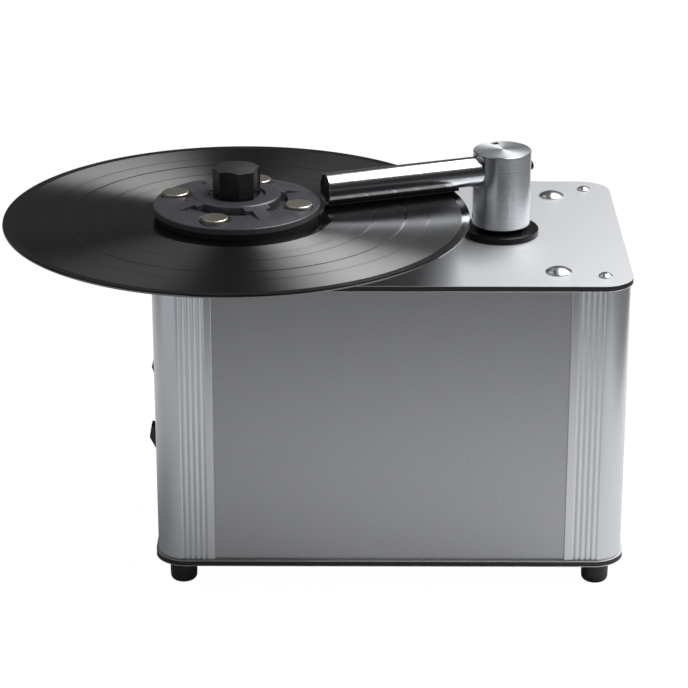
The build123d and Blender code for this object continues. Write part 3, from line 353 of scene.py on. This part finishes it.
corner_r = 21.0 * MM
skin = 0.4 * MM
core_inset = 0.1 * MM
for place in ("top", "base"):
    low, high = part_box(place + "_plate_skins")
    middle = (low + high) / 2
    size = high - low
    layers = []
    for level in (low.z, high.z - skin):
        layers.append(grown(
            place + "_skin", rounded_sheet, (middle.x, middle.y, level), Width=size.x,
            Depth=size.y, Thickness=skin, Corner=corner_r, Finish=deck_metal))
    skins = joined(place + "_skins", layers)
    smooth(skins, 0.12 * MM)
    belongs(skins, "case", "satin_aluminium", place + "_plate_skins")
    core = grown(place + "_core", rounded_sheet, (middle.x, middle.y, low.z + skin),
                 Width=size.x - 2 * core_inset, Depth=size.y - 2 * core_inset,
                 Thickness=size.z - 2 * skin, Corner=corner_r - core_inset, Finish=core_plastic)
    smooth(core, 0)
    belongs(core, "case", "black_core", place + "_plate_core")

# ---------------------------------------------------------------- corner extrusions
# Four lengths of one aluminium extrusion: a rounded corner, two wings with five fine
# grooves each, and a lip that overlaps the panel. A screw holds each at both ends.

# Extruded and satin anodised: smooth, with tall soft lights. The die's lines along it are
# about 0.1 mm wide and are drawn at 0.6 mm.
profile_metal, tree, shader = material("extruded_aluminium")
set_values(shader, Metallic=1.0)
grain(tree, shader, 0.6 * MM, "#C6C8CB", "#C9CBCE", 0.28, 0.30, 0.0004 * MM, (1, 1, 0.02))


def dressed(node, name, finish, body, slot, edge):
    """Copy of a solid, welded, with small rounds, that stands for the solid."""
    piece = bpy.data.objects.new(name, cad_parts[node].data.copy())
    scene.collection.objects.link(piece)
    piece.data.materials.clear()
    piece.data.materials.append(finish)
    smooth(piece, edge, weld=True)
    belongs(piece, body, slot, node)


for side in ("front_left", "front_right", "rear_left", "rear_right"):
    dressed("corner_profile_" + side, "extrusion_" + side, profile_metal, "case",
            "satin_aluminium", 0.4 * MM)

# ---------------------------------------------------------------- panels
# Four panels of thin blasted aluminium sheet slide into the extrusions' slots. Their
# anodising is darker than the plates'.

# Blasted and grey anodised: an even, speckled grey. The grain is about 0.1 mm and is drawn
# at 0.9 mm.
panel_metal, tree, shader = material("blasted_panel")
set_values(shader, Metallic=1.0)
grain(tree, shader, 0.9 * MM, "#A0A1A3", "#B3B4B6", 0.36, 0.43, 0.02 * MM)


def coat(node, finish):
    """Gives a solid its finish."""
    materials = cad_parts[node].data.materials
    materials.clear()
    materials.append(finish)


for node in ("front_panel", "rear_panel", "left_panel", "right_panel"):
    coat(node, panel_metal)

# ---------------------------------------------------------------- feet
# Four moulded rubber feet with a rounded lower edge, one under each corner. A recess in
# each takes the screw that goes up through the base plate into the extrusion's port.

# Moulded rubber: dull black. The mould's texture is about 0.1 mm and is drawn at 0.8 mm.
rubber, tree, shader = material("moulded_rubber")
grain(tree, shader, 0.8 * MM, "#101011", "#191A1A", 0.45, 0.6, 0.03 * MM)


def arc(centre, radius, first, last, steps):
    """Points of an arc, angles in degrees."""
    angles = [radians(first + (last - first) * i / steps) for i in range(steps + 1)]
    return [(centre[0] + radius * cos(a), centre[1] + radius * sin(a)) for a in angles]


def lathe(name, profile, centre, finish, segments):
    """Turned piece: (radius, height) points spun about an upright axis, u round it, v along."""
    work = bmesh.new()
    layer = work.loops.layers.uv.new("polar")
    rings = []
    for radius, height in profile:
        if radius < 1e-7:
            rings.append([work.verts.new((centre[0], centre[1], height))])
            continue
        rings.append([work.verts.new((
            centre[0] + radius * cos(2 * pi * i / segments),
            centre[1] + radius * sin(2 * pi * i / segments), height)) for i in range(segments)])
    travel = 0.0
    for k in range(len(profile)):
        here, there = rings[k], rings[(k + 1) % len(profile)]
        start, end = profile[k], profile[(k + 1) % len(profile)]
        v0, v1 = travel, travel + 10 * hypot(end[0] - start[0], end[1] - start[1])
        travel = v1
        if len(here) == 1 and len(there) == 1:
            continue
        for i in range(segments):
            j = (i + 1) % segments
            ring = [(here[i % len(here)], i, v0), (here[j % len(here)], i + 1, v0),
                    (there[j % len(there)], i + 1, v1), (there[i % len(there)], i, v1)]
            if len(here) == 1:
                ring.pop(1)
            if len(there) == 1:
                ring.pop(3)
            face = work.faces.new([v for v, _, _ in ring])
            for loop, (_, turn, v) in zip(face.loops, ring):
                loop[layer].uv = (turn / segments, v)
    bmesh.ops.recalc_face_normals(work, faces=work.faces)
    return link_mesh(name, work, finish)


def set_out(tree, given, result, points, turn):
    """Ends a tree: the piece on each point, turned, all one mesh with its finish."""
    one = add(tree, "GeometryNodeObjectInfo", links={"Object": given["Piece"]})
    copies = add(tree, "GeometryNodeInstanceOnPoints", links={
        "Points": points, "Instance": one.outputs["Geometry"], "Rotation": turn})
    whole = add(tree, "GeometryNodeRealizeInstances", links={"Geometry": copies.outputs[0]})
    coated = add(tree, "GeometryNodeSetMaterial", links={
        "Geometry": whole.outputs[0], "Material": given["Finish"]})
    tree.links.new(coated.outputs[0], result[0])


def any_turn(tree, given):
    """Random turn about the upright axis, up to the tree's Turn."""
    spin = add(tree, "FunctionNodeRandomValue", links={
        3: given["Turn"], "Seed": given["Seed"]}, data_type="FLOAT")
    return add(tree, "ShaderNodeCombineXYZ", links={"Z": spin.outputs[1]}).outputs[0]


in_each_corner, given, result = named_tree(
    "in_each_corner", Span_x="Float", Span_y="Float", Turn="Float", Seed="Int",
    Piece="Object", Finish="Material")
grid = add(in_each_corner, "GeometryNodeMeshGrid", {"Vertices X": 2, "Vertices Y": 2}, {
    "Size X": given["Span_x"], "Size Y": given["Span_y"]})
set_out(in_each_corner, given, result, grid.outputs["Mesh"], any_turn(in_each_corner, given))

foot_r = 9.2 * MM
foot_height = 18.0 * MM
foot_round = 3.6 * MM
foot_bottom_r = 8.9 * MM
recess_r = 4.6 * MM
recess_depth = 7.0 * MM
foot = lathe("foot", [
    (0, recess_depth), (recess_r, recess_depth), (recess_r, 0),
    *arc((foot_bottom_r - foot_round, foot_round), foot_round, -90, 0, 8),
    (foot_r, foot_height), (0, foot_height)], (0, 0), rubber, 64)
smooth(foot, 0.15 * MM)
low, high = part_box("feet")
case_middle = (low + high) / 2
span_x, span_y = high.x - low.x - 2 * foot_r, high.y - low.y - 2 * foot_r
feet = grown("rubber_feet", in_each_corner, (case_middle.x, case_middle.y, 0),
             Span_x=span_x, Span_y=span_y, Turn=0.0, Seed=1, Piece=foot, Finish=rubber)
bpy.data.objects.remove(foot)
belongs(feet, "case", "rubber", "feet")

# ---------------------------------------------------------------- screws of the case
# Cold-headed steel screws, polished and plated: a pan head with a cross recess in each
# corner, above and below, and two plain low domes that carry the tank's strap.

# Plated steel, polished: bright, with waves of about 1.5 mm that make its lights uneven.
steel, tree, shader = material("polished_steel")
set_values(shader, Metallic=1.0)
grain(tree, shader, 1.5 * MM, "#D6D8DB", "#E3E5E8", 0.22, 0.28, 0.004 * MM)


def dome(radius, edge, height, steps):
    """Profile of a low dome, from its edge to its crown."""
    rise = height - edge
    sphere = (radius ** 2 + rise ** 2) / (2 * rise)
    reach = asin(radius / sphere)
    turns = [reach * (1 - i / steps) for i in range(steps + 1)]
    return [(sphere * sin(t), height - sphere * (1 - cos(t))) for t in turns]


def cut(piece, tool):
    """Takes the tool out of the piece."""
    change = piece.modifiers.new("cut", "BOOLEAN")
    change.operation = "DIFFERENCE"
    change.solver = "EXACT"
    change.object = tool
    applied(piece)
    bpy.data.objects.remove(tool)


def block(name, length, width, height, place, finish):
    """Box about the origin of a placed frame."""
    work = bmesh.new()
    bmesh.ops.create_cube(work, size=1.0)
    work.transform(place @ Matrix.Diagonal((length, width, height, 1)))
    return link_mesh(name, work, finish)


def cross_screw(name, profile, finish, top, size):
    """Screw head with a cross recess of a size sunk from its top."""
    bar_width, bar_depth = 0.26 * size, 0.36 * size
    head = lathe(name, profile, (0, 0), finish, 48)
    for quarter in (0, 90):
        place = Matrix.Translation((0, 0, top)) @ Matrix.Rotation(radians(quarter), 4, "Z")
        cut(head, block("recess", size, bar_width, bar_depth, place, finish))
    smooth(head, 0.08 * MM)
    return head


head_r = 4.4 * MM
head_height = 2.6 * MM
head_edge = 0.9 * MM
head_cross = 4.6 * MM
pan_head = cross_screw("pan_head", [
    (0, 0), (head_r, 0), *dome(head_r, head_edge, head_height, 8)], steel, head_height, head_cross)
low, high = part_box("top_corner_screws")
deck_z = high.z - head_height
deck_screws = grown("deck_screws", in_each_corner, (case_middle.x, case_middle.y, deck_z),
                    Span_x=span_x, Span_y=span_y, Turn=pi, Seed=5, Piece=pan_head, Finish=steel)
belongs(deck_screws, "case", "steel", "top_corner_screws")
foot_screws = grown("foot_screw_heads", in_each_corner, (0, 0, 0),
                    Span_x=span_x, Span_y=span_y, Turn=pi, Seed=8, Piece=pan_head, Finish=steel)
foot_screws.data.transform(Matrix.Translation((case_middle.x, case_middle.y, recess_depth))
                           @ Matrix.Rotation(pi, 4, "X"))
bpy.data.objects.remove(pan_head)
belongs(foot_screws, "case", "steel", "foot_screws")

in_a_row, given, result = named_tree(
    "in_a_row", Count="Int", Step="Vector", Lie="Vector", Piece="Object", Finish="Material")
line = add(in_a_row, "GeometryNodeMeshLine", links={
    "Count": given["Count"], "Offset": given["Step"]})
set_out(in_a_row, given, result, line.outputs["Mesh"], given["Lie"])

dome_r = 8.6 * MM
dome_height = 3.6 * MM
dome_edge = 0.8 * MM
dome_head = lathe("dome_head", [
    (0, 0), (dome_r, 0), *dome(dome_r, dome_edge, dome_height, 16)], (0, 0), steel, 96)
smooth(dome_head, 0.15 * MM)
low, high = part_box("hanger_screws")
low, high = low + Vector((dome_r, dome_r, 0)), high - Vector((dome_r, dome_r, 0))
domes = grown("domed_screws", in_a_row, (low.x, low.y, deck_z), Count=2,
              Step=(high.x - low.x, high.y - low.y, 0), Lie=(0, 0, 0),
              Piece=dome_head, Finish=steel)
bpy.data.objects.remove(dome_head)
belongs(domes, "case", "nickel", "hanger_screws")

# ---------------------------------------------------------------- record
# A pressed vinyl record. Its grooves run round the disc, so light is drawn out into
# wedges across them; the gaps between tracks and the run-out are smoother rings.
low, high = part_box("record")
spindle = ((low.x + high.x) / 2, (low.y + high.y) / 2)
record_r = (high.x - low.x) / 2


def about_axis(tree, shader, axis):
    """Lays the sheen round an upright axis; gives the distance from the axis and the height."""
    round_it = add(tree, "ShaderNodeTangent", direction_type="UV_MAP", uv_map="polar")
    tree.links.new(round_it.outputs[0], shader.inputs["Tangent"])
    where = add(tree, "ShaderNodeTexCoord")
    centred = add(tree, "ShaderNodeVectorMath", {1: (*axis, 0)}, {
        0: where.outputs["Object"]}, operation="SUBTRACT")
    split = add(tree, "ShaderNodeSeparateXYZ", links={0: centred.outputs[0]})
    plan = add(tree, "ShaderNodeCombineXYZ", links={0: split.outputs["X"], 1: split.outputs["Y"]})
    out = add(tree, "ShaderNodeVectorMath", links={0: plan.outputs[0]}, operation="LENGTH")
    return out.outputs["Value"], split.outputs["Z"]


# Pressed black PVC. The grooves' pitch is about 0.13 mm and is drawn at 0.6 mm so that it
# shows. They scatter light only outwards, so lamps turn into wedges from the middle. Index
# and specular level are above real PVC's, for the wedges to be bright.
groove_pitch = 0.6 * MM
vinyl, tree, shader = material("pressed_vinyl")
set_values(shader, Anisotropic=1.0, Anisotropic_Rotation=0.25, IOR=1.8, Specular_IOR_Level=1.0)
out = about_axis(tree, shader, spindle)[0]
rings = add(tree, "ShaderNodeTexNoise", {"Scale": 1 / groove_pitch, "Detail": 2.0}, {
    "W": out}, noise_dimensions="1D")
share = add(tree, "ShaderNodeMath", {1: 1 / record_r}, {0: out}, operation="MULTIPLY")
# Roughness by radius in millimetres: run-out, tracks with smooth gaps, lead-in and rim
land, tracks = 0.13, 0.37
run_out, lead_in, outer = 62, 145, 150.7
gap_half, gap_foot = 0.5, 0.9
bands = [(0, land), (run_out, land), (run_out + 1, tracks)]
for gap, value in ((78, 0.29), (89, 0.27), (109, 0.20), (124, 0.27)):
    bands += [(gap - gap_foot, tracks), (gap - gap_half, value),
              (gap + gap_half, value), (gap + gap_foot, tracks)]
bands += [(lead_in, tracks), (lead_in + 0.6, land), (outer, land)]
grooved = add(tree, "ShaderNodeValToRGB", links={0: share.outputs[0]})
stops = grooved.color_ramp.elements
stops.remove(stops[1])
stops[0].color = (land, land, land, 1)
for radius, value in bands[1:]:
    stops.new(radius * MM / record_r).color = (value, value, value, 1)
wander = add(tree, "ShaderNodeMapRange", {
    "From Min": 0.3, "From Max": 0.7, "To Min": 0.94, "To Max": 1.06}, {
    "Value": rings.outputs["Fac"]})
rough = add(tree, "ShaderNodeMath", links={
    0: grooved.outputs[0], 1: wander.outputs[0]}, operation="MULTIPLY")
tree.links.new(rough.outputs[0], shader.inputs["Roughness"])
tint = add(tree, "ShaderNodeValToRGB", links={0: rings.outputs["Fac"]})
tint.color_ramp.elements[0].position = 0.35
tint.color_ramp.elements[0].color = linear("#050506")
tint.color_ramp.elements[1].position = 0.65
tint.color_ramp.elements[1].color = linear("#0C0C0F")
tree.links.new(tint.outputs[0], shader.inputs["Base Color"])

bead = 0.2 * MM
record_top = high.z - bead
record_floor = low.z + bead
label_land = 53.0 * MM
label_slope = 2 * MM
rim_width = 2.6 * MM
rim_slope = 1 * MM
hole_r = 3.63 * MM
middle = (record_top + record_floor) / 2
profile = [
    (hole_r, low.z), (label_land, low.z), (label_land + label_slope, record_floor),
    (record_r - rim_width, record_floor), (record_r - rim_width + rim_slope, low.z),
    (record_r - 2 * bead, low.z), (record_r - 0.5 * bead, middle - 2 * bead), (record_r, middle),
    (record_r - 0.5 * bead, middle + 2 * bead), (record_r - 2 * bead, high.z),
    (record_r - rim_width + rim_slope, high.z), (record_r - rim_width, record_top),
    (label_land + label_slope, record_top), (label_land, high.z), (hole_r, high.z)]
disc = lathe("vinyl_record", profile, spindle, vinyl, 720)
smooth(disc, 0, angle=50)
belongs(disc, "platter", "vinyl", "record")

# ---------------------------------------------------------------- clamp
# A moulded black plastic disc with ribs and pockets, four bright metal discs pressed into
# it, a soft seal under the rim and a knob that screws down on the spindle.

# Moulded ABS: charcoal, satin. The mould's texture is about 0.1 mm, drawn at 0.8 mm.
moulded, tree, shader = material("moulded_abs")
grain(tree, shader, 0.8 * MM, "#39393D", "#434347", 0.27, 0.34, 0.01 * MM)
dressed("clamp_disc", "clamp_moulding", moulded, "clamp", "black_plastic", 0.4 * MM)

# Nickel plate, satin: warm and soft. Its grain is about 0.1 mm and is drawn at 1.2 mm.
nickel, tree, shader = material("satin_nickel")
set_values(shader, Metallic=1.0)
grain(tree, shader, 1.2 * MM, "#B0ABA2", "#BDB8AF", 0.34, 0.42, 0.01 * MM)
round_a_circle, given, result = named_tree(
    "round_a_circle", Count="Int", Radius="Float", First_angle="Float", Turn="Float",
    Seed="Int", Piece="Object", Finish="Material")
circle = add(round_a_circle, "GeometryNodeMeshCircle", links={
    "Vertices": given["Count"], "Radius": given["Radius"]})
first = add(round_a_circle, "ShaderNodeCombineXYZ", links={"Z": given["First_angle"]})
swung = add(round_a_circle, "GeometryNodeTransform", links={
    "Geometry": circle.outputs[0], "Rotation": first.outputs[0]})
set_out(round_a_circle, given, result, swung.outputs[0], any_turn(round_a_circle, given))

weight_r = 8.75 * MM
weight_circle = 42.0 * MM
weight_chamfer = 0.6 * MM
first_weight = radians(-17)
low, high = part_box("clamp_weights")
weight_height = high.z - low.z
weight = lathe("weight", [
    (0, 0), (weight_r, 0), (weight_r, weight_height - weight_chamfer),
    (weight_r - weight_chamfer, weight_height), (0, weight_height)], (0, 0), nickel, 96)
smooth(weight, 0.1 * MM)
weights = grown("clamp_discs", round_a_circle, (*spindle, low.z), Count=4, Radius=weight_circle,
                First_angle=first_weight, Turn=2 * pi, Seed=3, Piece=weight, Finish=nickel)
bpy.data.objects.remove(weight)
belongs(weights, "clamp", "nickel", "clamp_weights")
dressed("clamp_seal", "clamp_ring", rubber, "clamp", "rubber", 0.2 * MM)

# Knob and rockers: black ABS, polished, with waves of about 1 mm. A face that looks up is
# worn dull, the more the further its normal points up.
worn_rough = 0.62
worn_start, worn_full = 0.6, 0.9
knob_plastic, tree, shader = material("polished_abs")
grain(tree, shader, 1.0 * MM, "#151517", "#1E1E20", 0.18, 0.24, 0.004 * MM)
way = add(tree, "ShaderNodeNewGeometry")
upward = add(tree, "ShaderNodeSeparateXYZ", links={0: way.outputs["Normal"]})
worn = add(tree, "ShaderNodeMapRange", {
    "From Min": worn_start, "From Max": worn_full, "To Max": worn_rough}, {
    "Value": upward.outputs["Z"]})
glossy = shader.inputs["Roughness"].links[0].from_socket
either = add(tree, "ShaderNodeMath", links={0: worn.outputs[0], 1: glossy}, operation="MAXIMUM")
tree.links.new(either.outputs[0], shader.inputs["Roughness"])
dressed("clamp_knob", "knob", knob_plastic, "knob", "black_plastic", 0.3 * MM)

# ---------------------------------------------------------------- arm foot
# A turned aluminium ring on the deck, held by four countersunk screws, and the plastic
# washer on which the post turns.

# Black anodised aluminium: dark satin. Its grain is about 0.1 mm and is drawn at 0.8 mm.
black_metal, tree, shader = material("black_anodised")
set_values(shader, Metallic=0.6)
grain(tree, shader, 0.8 * MM, "#141416", "#1E1E20", 0.30, 0.38, 0.008 * MM)
dressed("arm_flange", "arm_ring", black_metal, "case", "black_anodised", 0.12 * MM)
ring_head_r = 2.6 * MM
ring_head_depth = 1.1 * MM
ring_head_foot_r = 1.5 * MM
ring_head_lip = 0.1 * MM
ring_head_cross = 3.0 * MM
ring_screw_circle = 21.6 * MM
low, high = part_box("arm_flange")
ring_middle = (low + high) / 2
ring_head = cross_screw("ring_head", [
    (0, -ring_head_depth), (ring_head_foot_r, -ring_head_depth),
    (ring_head_r, -ring_head_lip / 2), (ring_head_r - ring_head_lip, 0), (0, 0)],
    black_metal, 0, ring_head_cross)
ring_screws = grown("ring_screws", round_a_circle, (ring_middle.x, ring_middle.y, high.z),
                    Count=4, Radius=ring_screw_circle, First_angle=radians(-45), Turn=pi,
                    Seed=4, Piece=ring_head, Finish=black_metal)
bpy.data.objects.remove(ring_head)
belongs(ring_screws, "case", "black_anodised", "flange_screws")

# Black nylon and ABS, moulded: matt. The mould's grain is about 0.1 mm, drawn at 0.8 mm.
black_moulded, tree, shader = material("black_moulded")
grain(tree, shader, 0.8 * MM, "#151517", "#1E1E20", 0.40, 0.48, 0.01 * MM)
dressed("swivel_collar", "washer", black_moulded, "swivel", "black_plastic", 0.15 * MM)

# ---------------------------------------------------------------- arm post
# Turned from aluminium bar and cross-drilled for the tube. Two grub screws hold it, one in
# its top and one low on its side, and a black screw behind ties the tube.

# Turned aluminium: marks round the side and in circles on the top draw reflections into
# upright bands. Their pitch is about 0.1 mm and is drawn at 0.5 mm so that they show. The
# top is faced with a coarser cut, so it is duller than the side. Its colour is also mixed
# towards a darker grey, which is painted shade.
swivel_low, swivel_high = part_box("swivel_collar")
post_axis = ((swivel_low.x + swivel_high.x) / 2, (swivel_low.y + swivel_high.y) / 2)
turning_pitch = 0.5 * MM
turning_depth = 0.05 * MM
top_band = 0.5 * MM
top_shade_share = 0.35
top_rough = 0.60
turned_metal, tree, shader = material("turned_aluminium")
set_values(shader, Metallic=1.0, Anisotropic=0.85, Anisotropic_Rotation=0.25)
out, up = about_axis(tree, shader, post_axis)
along = add(tree, "ShaderNodeMath", links={0: out, 1: up}, operation="ADD")
marks = add(tree, "ShaderNodeTexNoise", {"Scale": 1 / turning_pitch, "Detail": 3.0}, {
    "W": along.outputs[0]}, noise_dimensions="1D")
textured(tree, shader, marks.outputs["Fac"], "#CED0D3", "#E8EAED", 0.21, 0.24, turning_depth)
side_colour = shader.inputs["Base Color"].links[0].from_socket
side_rough = shader.inputs["Roughness"].links[0].from_socket
low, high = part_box("arm_post")
# Painted shade: on the top face the colour is mixed a share towards a darker grey.
on_top = add(tree, "ShaderNodeMath", {1: high.z - top_band}, {0: up}, operation="GREATER_THAN")
top_shade_weight = add(tree, "ShaderNodeMath", {1: top_shade_share}, {0: on_top.outputs[0]}, operation="MULTIPLY")
top_painted_shade = add(tree, "ShaderNodeMix", {7: linear("#7C7E81")}, {
    0: top_shade_weight.outputs[0], 6: side_colour}, data_type="RGBA")
tree.links.new(top_painted_shade.outputs[2], shader.inputs["Base Color"])
dulled = add(tree, "ShaderNodeMath", {1: top_rough}, {
    0: on_top.outputs[0], 2: side_rough}, operation="MULTIPLY_ADD")
tree.links.new(dulled.outputs[0], shader.inputs["Roughness"])

post_r = (high.x - low.x) / 2
plug_low, plug_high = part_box("tube_plug")
plug_mid = (plug_low + plug_high) / 2
tube_z = plug_mid.z
tube_turn = atan2(plug_mid.y - post_axis[1], plug_mid.x - post_axis[0])
tube_low, tube_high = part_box("suction_tube")
tube_r = (tube_high.z - tube_low.z) / 2
chamfer = 0.8 * MM
post_profile = [
    (0, low.z), (post_r - chamfer, low.z), (post_r, low.z + chamfer),
    (post_r, high.z - chamfer), (post_r - chamfer, high.z), (0, high.z)]
post = lathe("post", post_profile, post_axis, turned_metal, 256)
smooth(post, 0.12 * MM)


def rod(name, radius, start, end, place, segments):
    """Closed cylinder along X of a placed frame."""
    work = bmesh.new()
    bmesh.ops.create_cone(work, cap_ends=True, segments=segments, radius1=radius, radius2=radius,
                          depth=end - start)
    work.transform(place @ Matrix.Translation(((start + end) / 2, 0, 0))
                   @ Matrix.Rotation(pi / 2, 4, "Y"))
    return link_mesh(name, work, turned_metal)


def about_post(height, angle):
    """Frame on the post's axis at a height, its X turned to an angle."""
    return Matrix.Translation((*post_axis, height)) @ Matrix.Rotation(angle, 4, "Z")


arm_place = about_post(tube_z, tube_turn)
seam = 0.12 * MM
cut(post, rod("bore", tube_r + seam, 0, 2 * post_r, arm_place, 128))
hole_depth = 1.6 * MM
past_face = 1 * MM
set_hole_r = 2.5 * MM
set_hole_angle = radians(108.7)
set_hole_out = 13.4 * MM
set_place = about_post(high.z, set_hole_angle) @ Matrix.Translation((set_hole_out, 0, 0))
set_place = set_place @ Matrix.Rotation(-pi / 2, 4, "Y")
cut(post, rod("set_screw_hole", set_hole_r, -hole_depth, past_face, set_place, 48))
side_hole_r = 2.1 * MM
side_hole_angle = radians(186)
side_hole_rise = 6.3 * MM
side_place = about_post(low.z + side_hole_rise, side_hole_angle)
cut(post, rod("side_screw_hole", side_hole_r, post_r - hole_depth, post_r + past_face,
              side_place, 48))
smooth(post, 0)
belongs(post, "arm", "turned_aluminium", "arm_post")
dressed("post_screws", "black_screws", black_metal, "arm", "black_anodised", 0.1 * MM)

# ---------------------------------------------------------------- suction tube
# Drawn aluminium tube, polished and clear anodised, open below in a long slot with a
# strip of velvet on each side, and closed by a black plug.

# Polished aluminium: nearly a mirror. Polishing marks are about 0.1 mm, drawn at 0.7 mm.
tube_metal, tree, shader = material("polished_aluminium_tube")
set_values(shader, Metallic=1.0)
grain(tree, shader, 0.7 * MM, "#CDCFD2", "#D5D7DA", 0.18, 0.21, 0.0008 * MM)
plug_recess = 1.2 * MM
plug_length = 6.0 * MM
tube_wall = 1.0 * MM
plug_far = hypot(plug_mid.x - post_axis[0], plug_mid.y - post_axis[1]) + plug_length / 2
tube_end = plug_far + plug_recess
tube_start = -13.0 * MM
wall_round = 0.45 * MM
tube_profile = [
    (tube_r - tube_wall, tube_start), (tube_r, tube_start), (tube_r, tube_end - wall_round),
    (tube_r - wall_round, tube_end), (tube_r - tube_wall + wall_round, tube_end),
    (tube_r - tube_wall, tube_end - wall_round)]
tube = lathe("tube", tube_profile, (0, 0), tube_metal, 192)
tube.data.transform(arm_place @ Matrix.Rotation(pi / 2, 4, "Y"))
slot_width = 3.0 * MM
slot_start = 38.0 * MM
slot_short_of_plug = 5.0 * MM
slot_stop = plug_far - plug_length - slot_short_of_plug
slot_place = arm_place @ Matrix.Translation(((slot_start + slot_stop) / 2, 0, -tube_r))
cut(tube, block("slot", slot_stop - slot_start, slot_width, 1.6 * tube_r, slot_place, tube_metal))
smooth(tube, 0)
belongs(tube, "arm", "polished_tube", "suction_tube")
dressed("tube_plug", "plug", black_moulded, "arm", "black_plastic", 0.3 * MM)

# Short black nylon pile: very dark, with a soft sheen. Its tufts are about 0.4 mm.
velvet, tree, shader = material("velvet_pile")
set_values(shader, Sheen_Weight=0.5, Sheen_Roughness=0.4)
grain(tree, shader, 0.4 * MM, "#0B0B0C", "#161617", 0.85, 0.95, 0.08 * MM)
dressed("velvet_strips", "velvet", velvet, "arm", "velvet", 0.2 * MM)

# ---------------------------------------------------------------- switches
# Two black rocker switches snapped into the left panel. Each has a moulded bezel and a
# rocker with a raised ridge.
dressed("switch_bodies", "switch_bezels", black_moulded, "case", "black_plastic", 0.2 * MM)
for use in ("rotation", "vacuum"):
    dressed(use + "_rocker", "rocker_" + use, knob_plastic, use + "_switch", "black_plastic",
            0.3 * MM)

# ---------------------------------------------------------------- rear fittings
# In the rear panel: a moulded exhaust grille with six bars, the mains inlet with its three
# pins and two screws, and the drain's spout with its pull-off cap.
low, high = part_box("exhaust_grille")
grille_middle = (low + high) / 2
slot_count = 7
slots_rise = 32.0 * MM
slot_pitch = slots_rise / slot_count
slot_height = 2.8 * MM
slot_length = 34.0 * MM
window_height = (slot_count - 1) * slot_pitch + slot_height
bar_height = slot_pitch - slot_height
grille_depth = high.y - low.y
grille_place = Matrix.Translation(grille_middle)
rim = block("grille_rim", high.x - low.x, grille_depth, high.z - low.z, grille_place, black_moulded)
cut(rim, block("window", slot_length, 3 * grille_depth, window_height, grille_place, black_moulded))
smooth(rim, 0.5 * MM)
bar_overlap = 0.5 * MM
bar_depth = 0.8 * grille_depth
bar = block("bar", slot_length + 2 * bar_overlap, bar_depth, bar_height, Matrix(), black_moulded)
smooth(bar, 0.35 * MM)
lowest_bar = grille_middle.z - (slot_count - 2) / 2 * slot_pitch
bars = grown("bars", in_a_row, (grille_middle.x, grille_middle.y, lowest_bar),
             Count=slot_count - 1, Step=(0, 0, slot_pitch), Lie=(0, 0, 0),
             Piece=bar, Finish=black_moulded)
bpy.data.objects.remove(bar)
grille = joined("grille", [rim, bars])
smooth(grille, 0)
belongs(grille, "case", "black_plastic", "exhaust_grille")
dressed("mains_inlet", "inlet", black_moulded, "case", "black_plastic", 0.2 * MM)
dressed("inlet_pins", "pins", nickel, "case", "steel", 0.15 * MM)
inlet_head_r = 3.0 * MM
inlet_head_edge = 0.5 * MM
inlet_head_cross = 3.2 * MM
low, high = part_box("inlet_screws")
inlet_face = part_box("mains_inlet")[1].y
head_rise = high.y - inlet_face
inlet_head = cross_screw("inlet_head", [
    (0, 0), (inlet_head_r, 0), *dome(inlet_head_r, inlet_head_edge, head_rise, 8)],
    steel, head_rise, inlet_head_cross)
inlet_heads = grown(
    "inlet_heads", in_a_row, (low.x + inlet_head_r, inlet_face, (low.z + high.z) / 2),
    Count=2, Step=(high.x - low.x - 2 * inlet_head_r, 0, 0), Lie=(-pi / 2, 0, 0),
    Piece=inlet_head, Finish=steel)
bpy.data.objects.remove(inlet_head)
belongs(inlet_heads, "case", "steel", "inlet_screws")
dressed("drain_spout", "spout", black_moulded, "case", "black_plastic", 0.1 * MM)
dressed("drain_cap", "cap", black_moulded, "cap", "black_plastic", 0.15 * MM)

# ---------------------------------------------------------------- drive and inner pieces
# What carries the platter, and what the closed case holds: tank, hoses, blower, motors.

# Turned brass: yellow, softly bright. Tool marks of about 0.1 mm are drawn at 0.8 mm.
brass, tree, shader = material("turned_brass")
set_values(shader, Metallic=1.0)
grain(tree, shader, 0.8 * MM, "#B08A45", "#C9A45C", 0.25, 0.35, 0.01 * MM)

# Cast aluminium: grey and uneven, with a skin of grains of about 1.4 mm.
cast, tree, shader = material("cast_aluminium")
set_values(shader, Metallic=1.0)
grain(tree, shader, 1.4 * MM, "#9A9B9D", "#B2B3B5", 0.40, 0.55, 0.05 * MM)

# Blow-moulded polyethylene: milky, with waves of about 3 mm.
tank_plastic, tree, shader = material("natural_polyethylene")
set_values(shader, Subsurface_Weight=0.1)
grain(tree, shader, 3.0 * MM, "#D8D8D2", "#E4E4DE", 0.35, 0.45, 0.03 * MM)

# Extruded rubber: dull dark grey, with a bloom in patches of about 1 mm.
hose_rubber, tree, shader = material("hose_rubber")
grain(tree, shader, 1.0 * MM, "#26272A", "#2F3033", 0.5, 0.6, 0.02 * MM)

inner = {
    "bearing_housing": cast, "spindle_bearings": brass, "housing_screws": steel,
    "motor_standoffs": brass, "gearbox": cast, "gear_motor": steel, "spindle": steel,
    "platter_hub": cast, "platter_mat": rubber, "knob_insert": brass, "arm_bush": black_moulded,
    "bush_nut": brass, "riser_pipe": steel, "tube_anchor": brass, "hanger_strap": steel,
    "waste_tank": tank_plastic, "tank_lid": tank_plastic, "hoses": hose_rubber,
    "blower_pads": rubber, "blower_motor": steel, "blower_housing": black_moulded,
    "blower_impeller": tank_plastic}
for node, finish in inner.items():
    coat(node, finish)
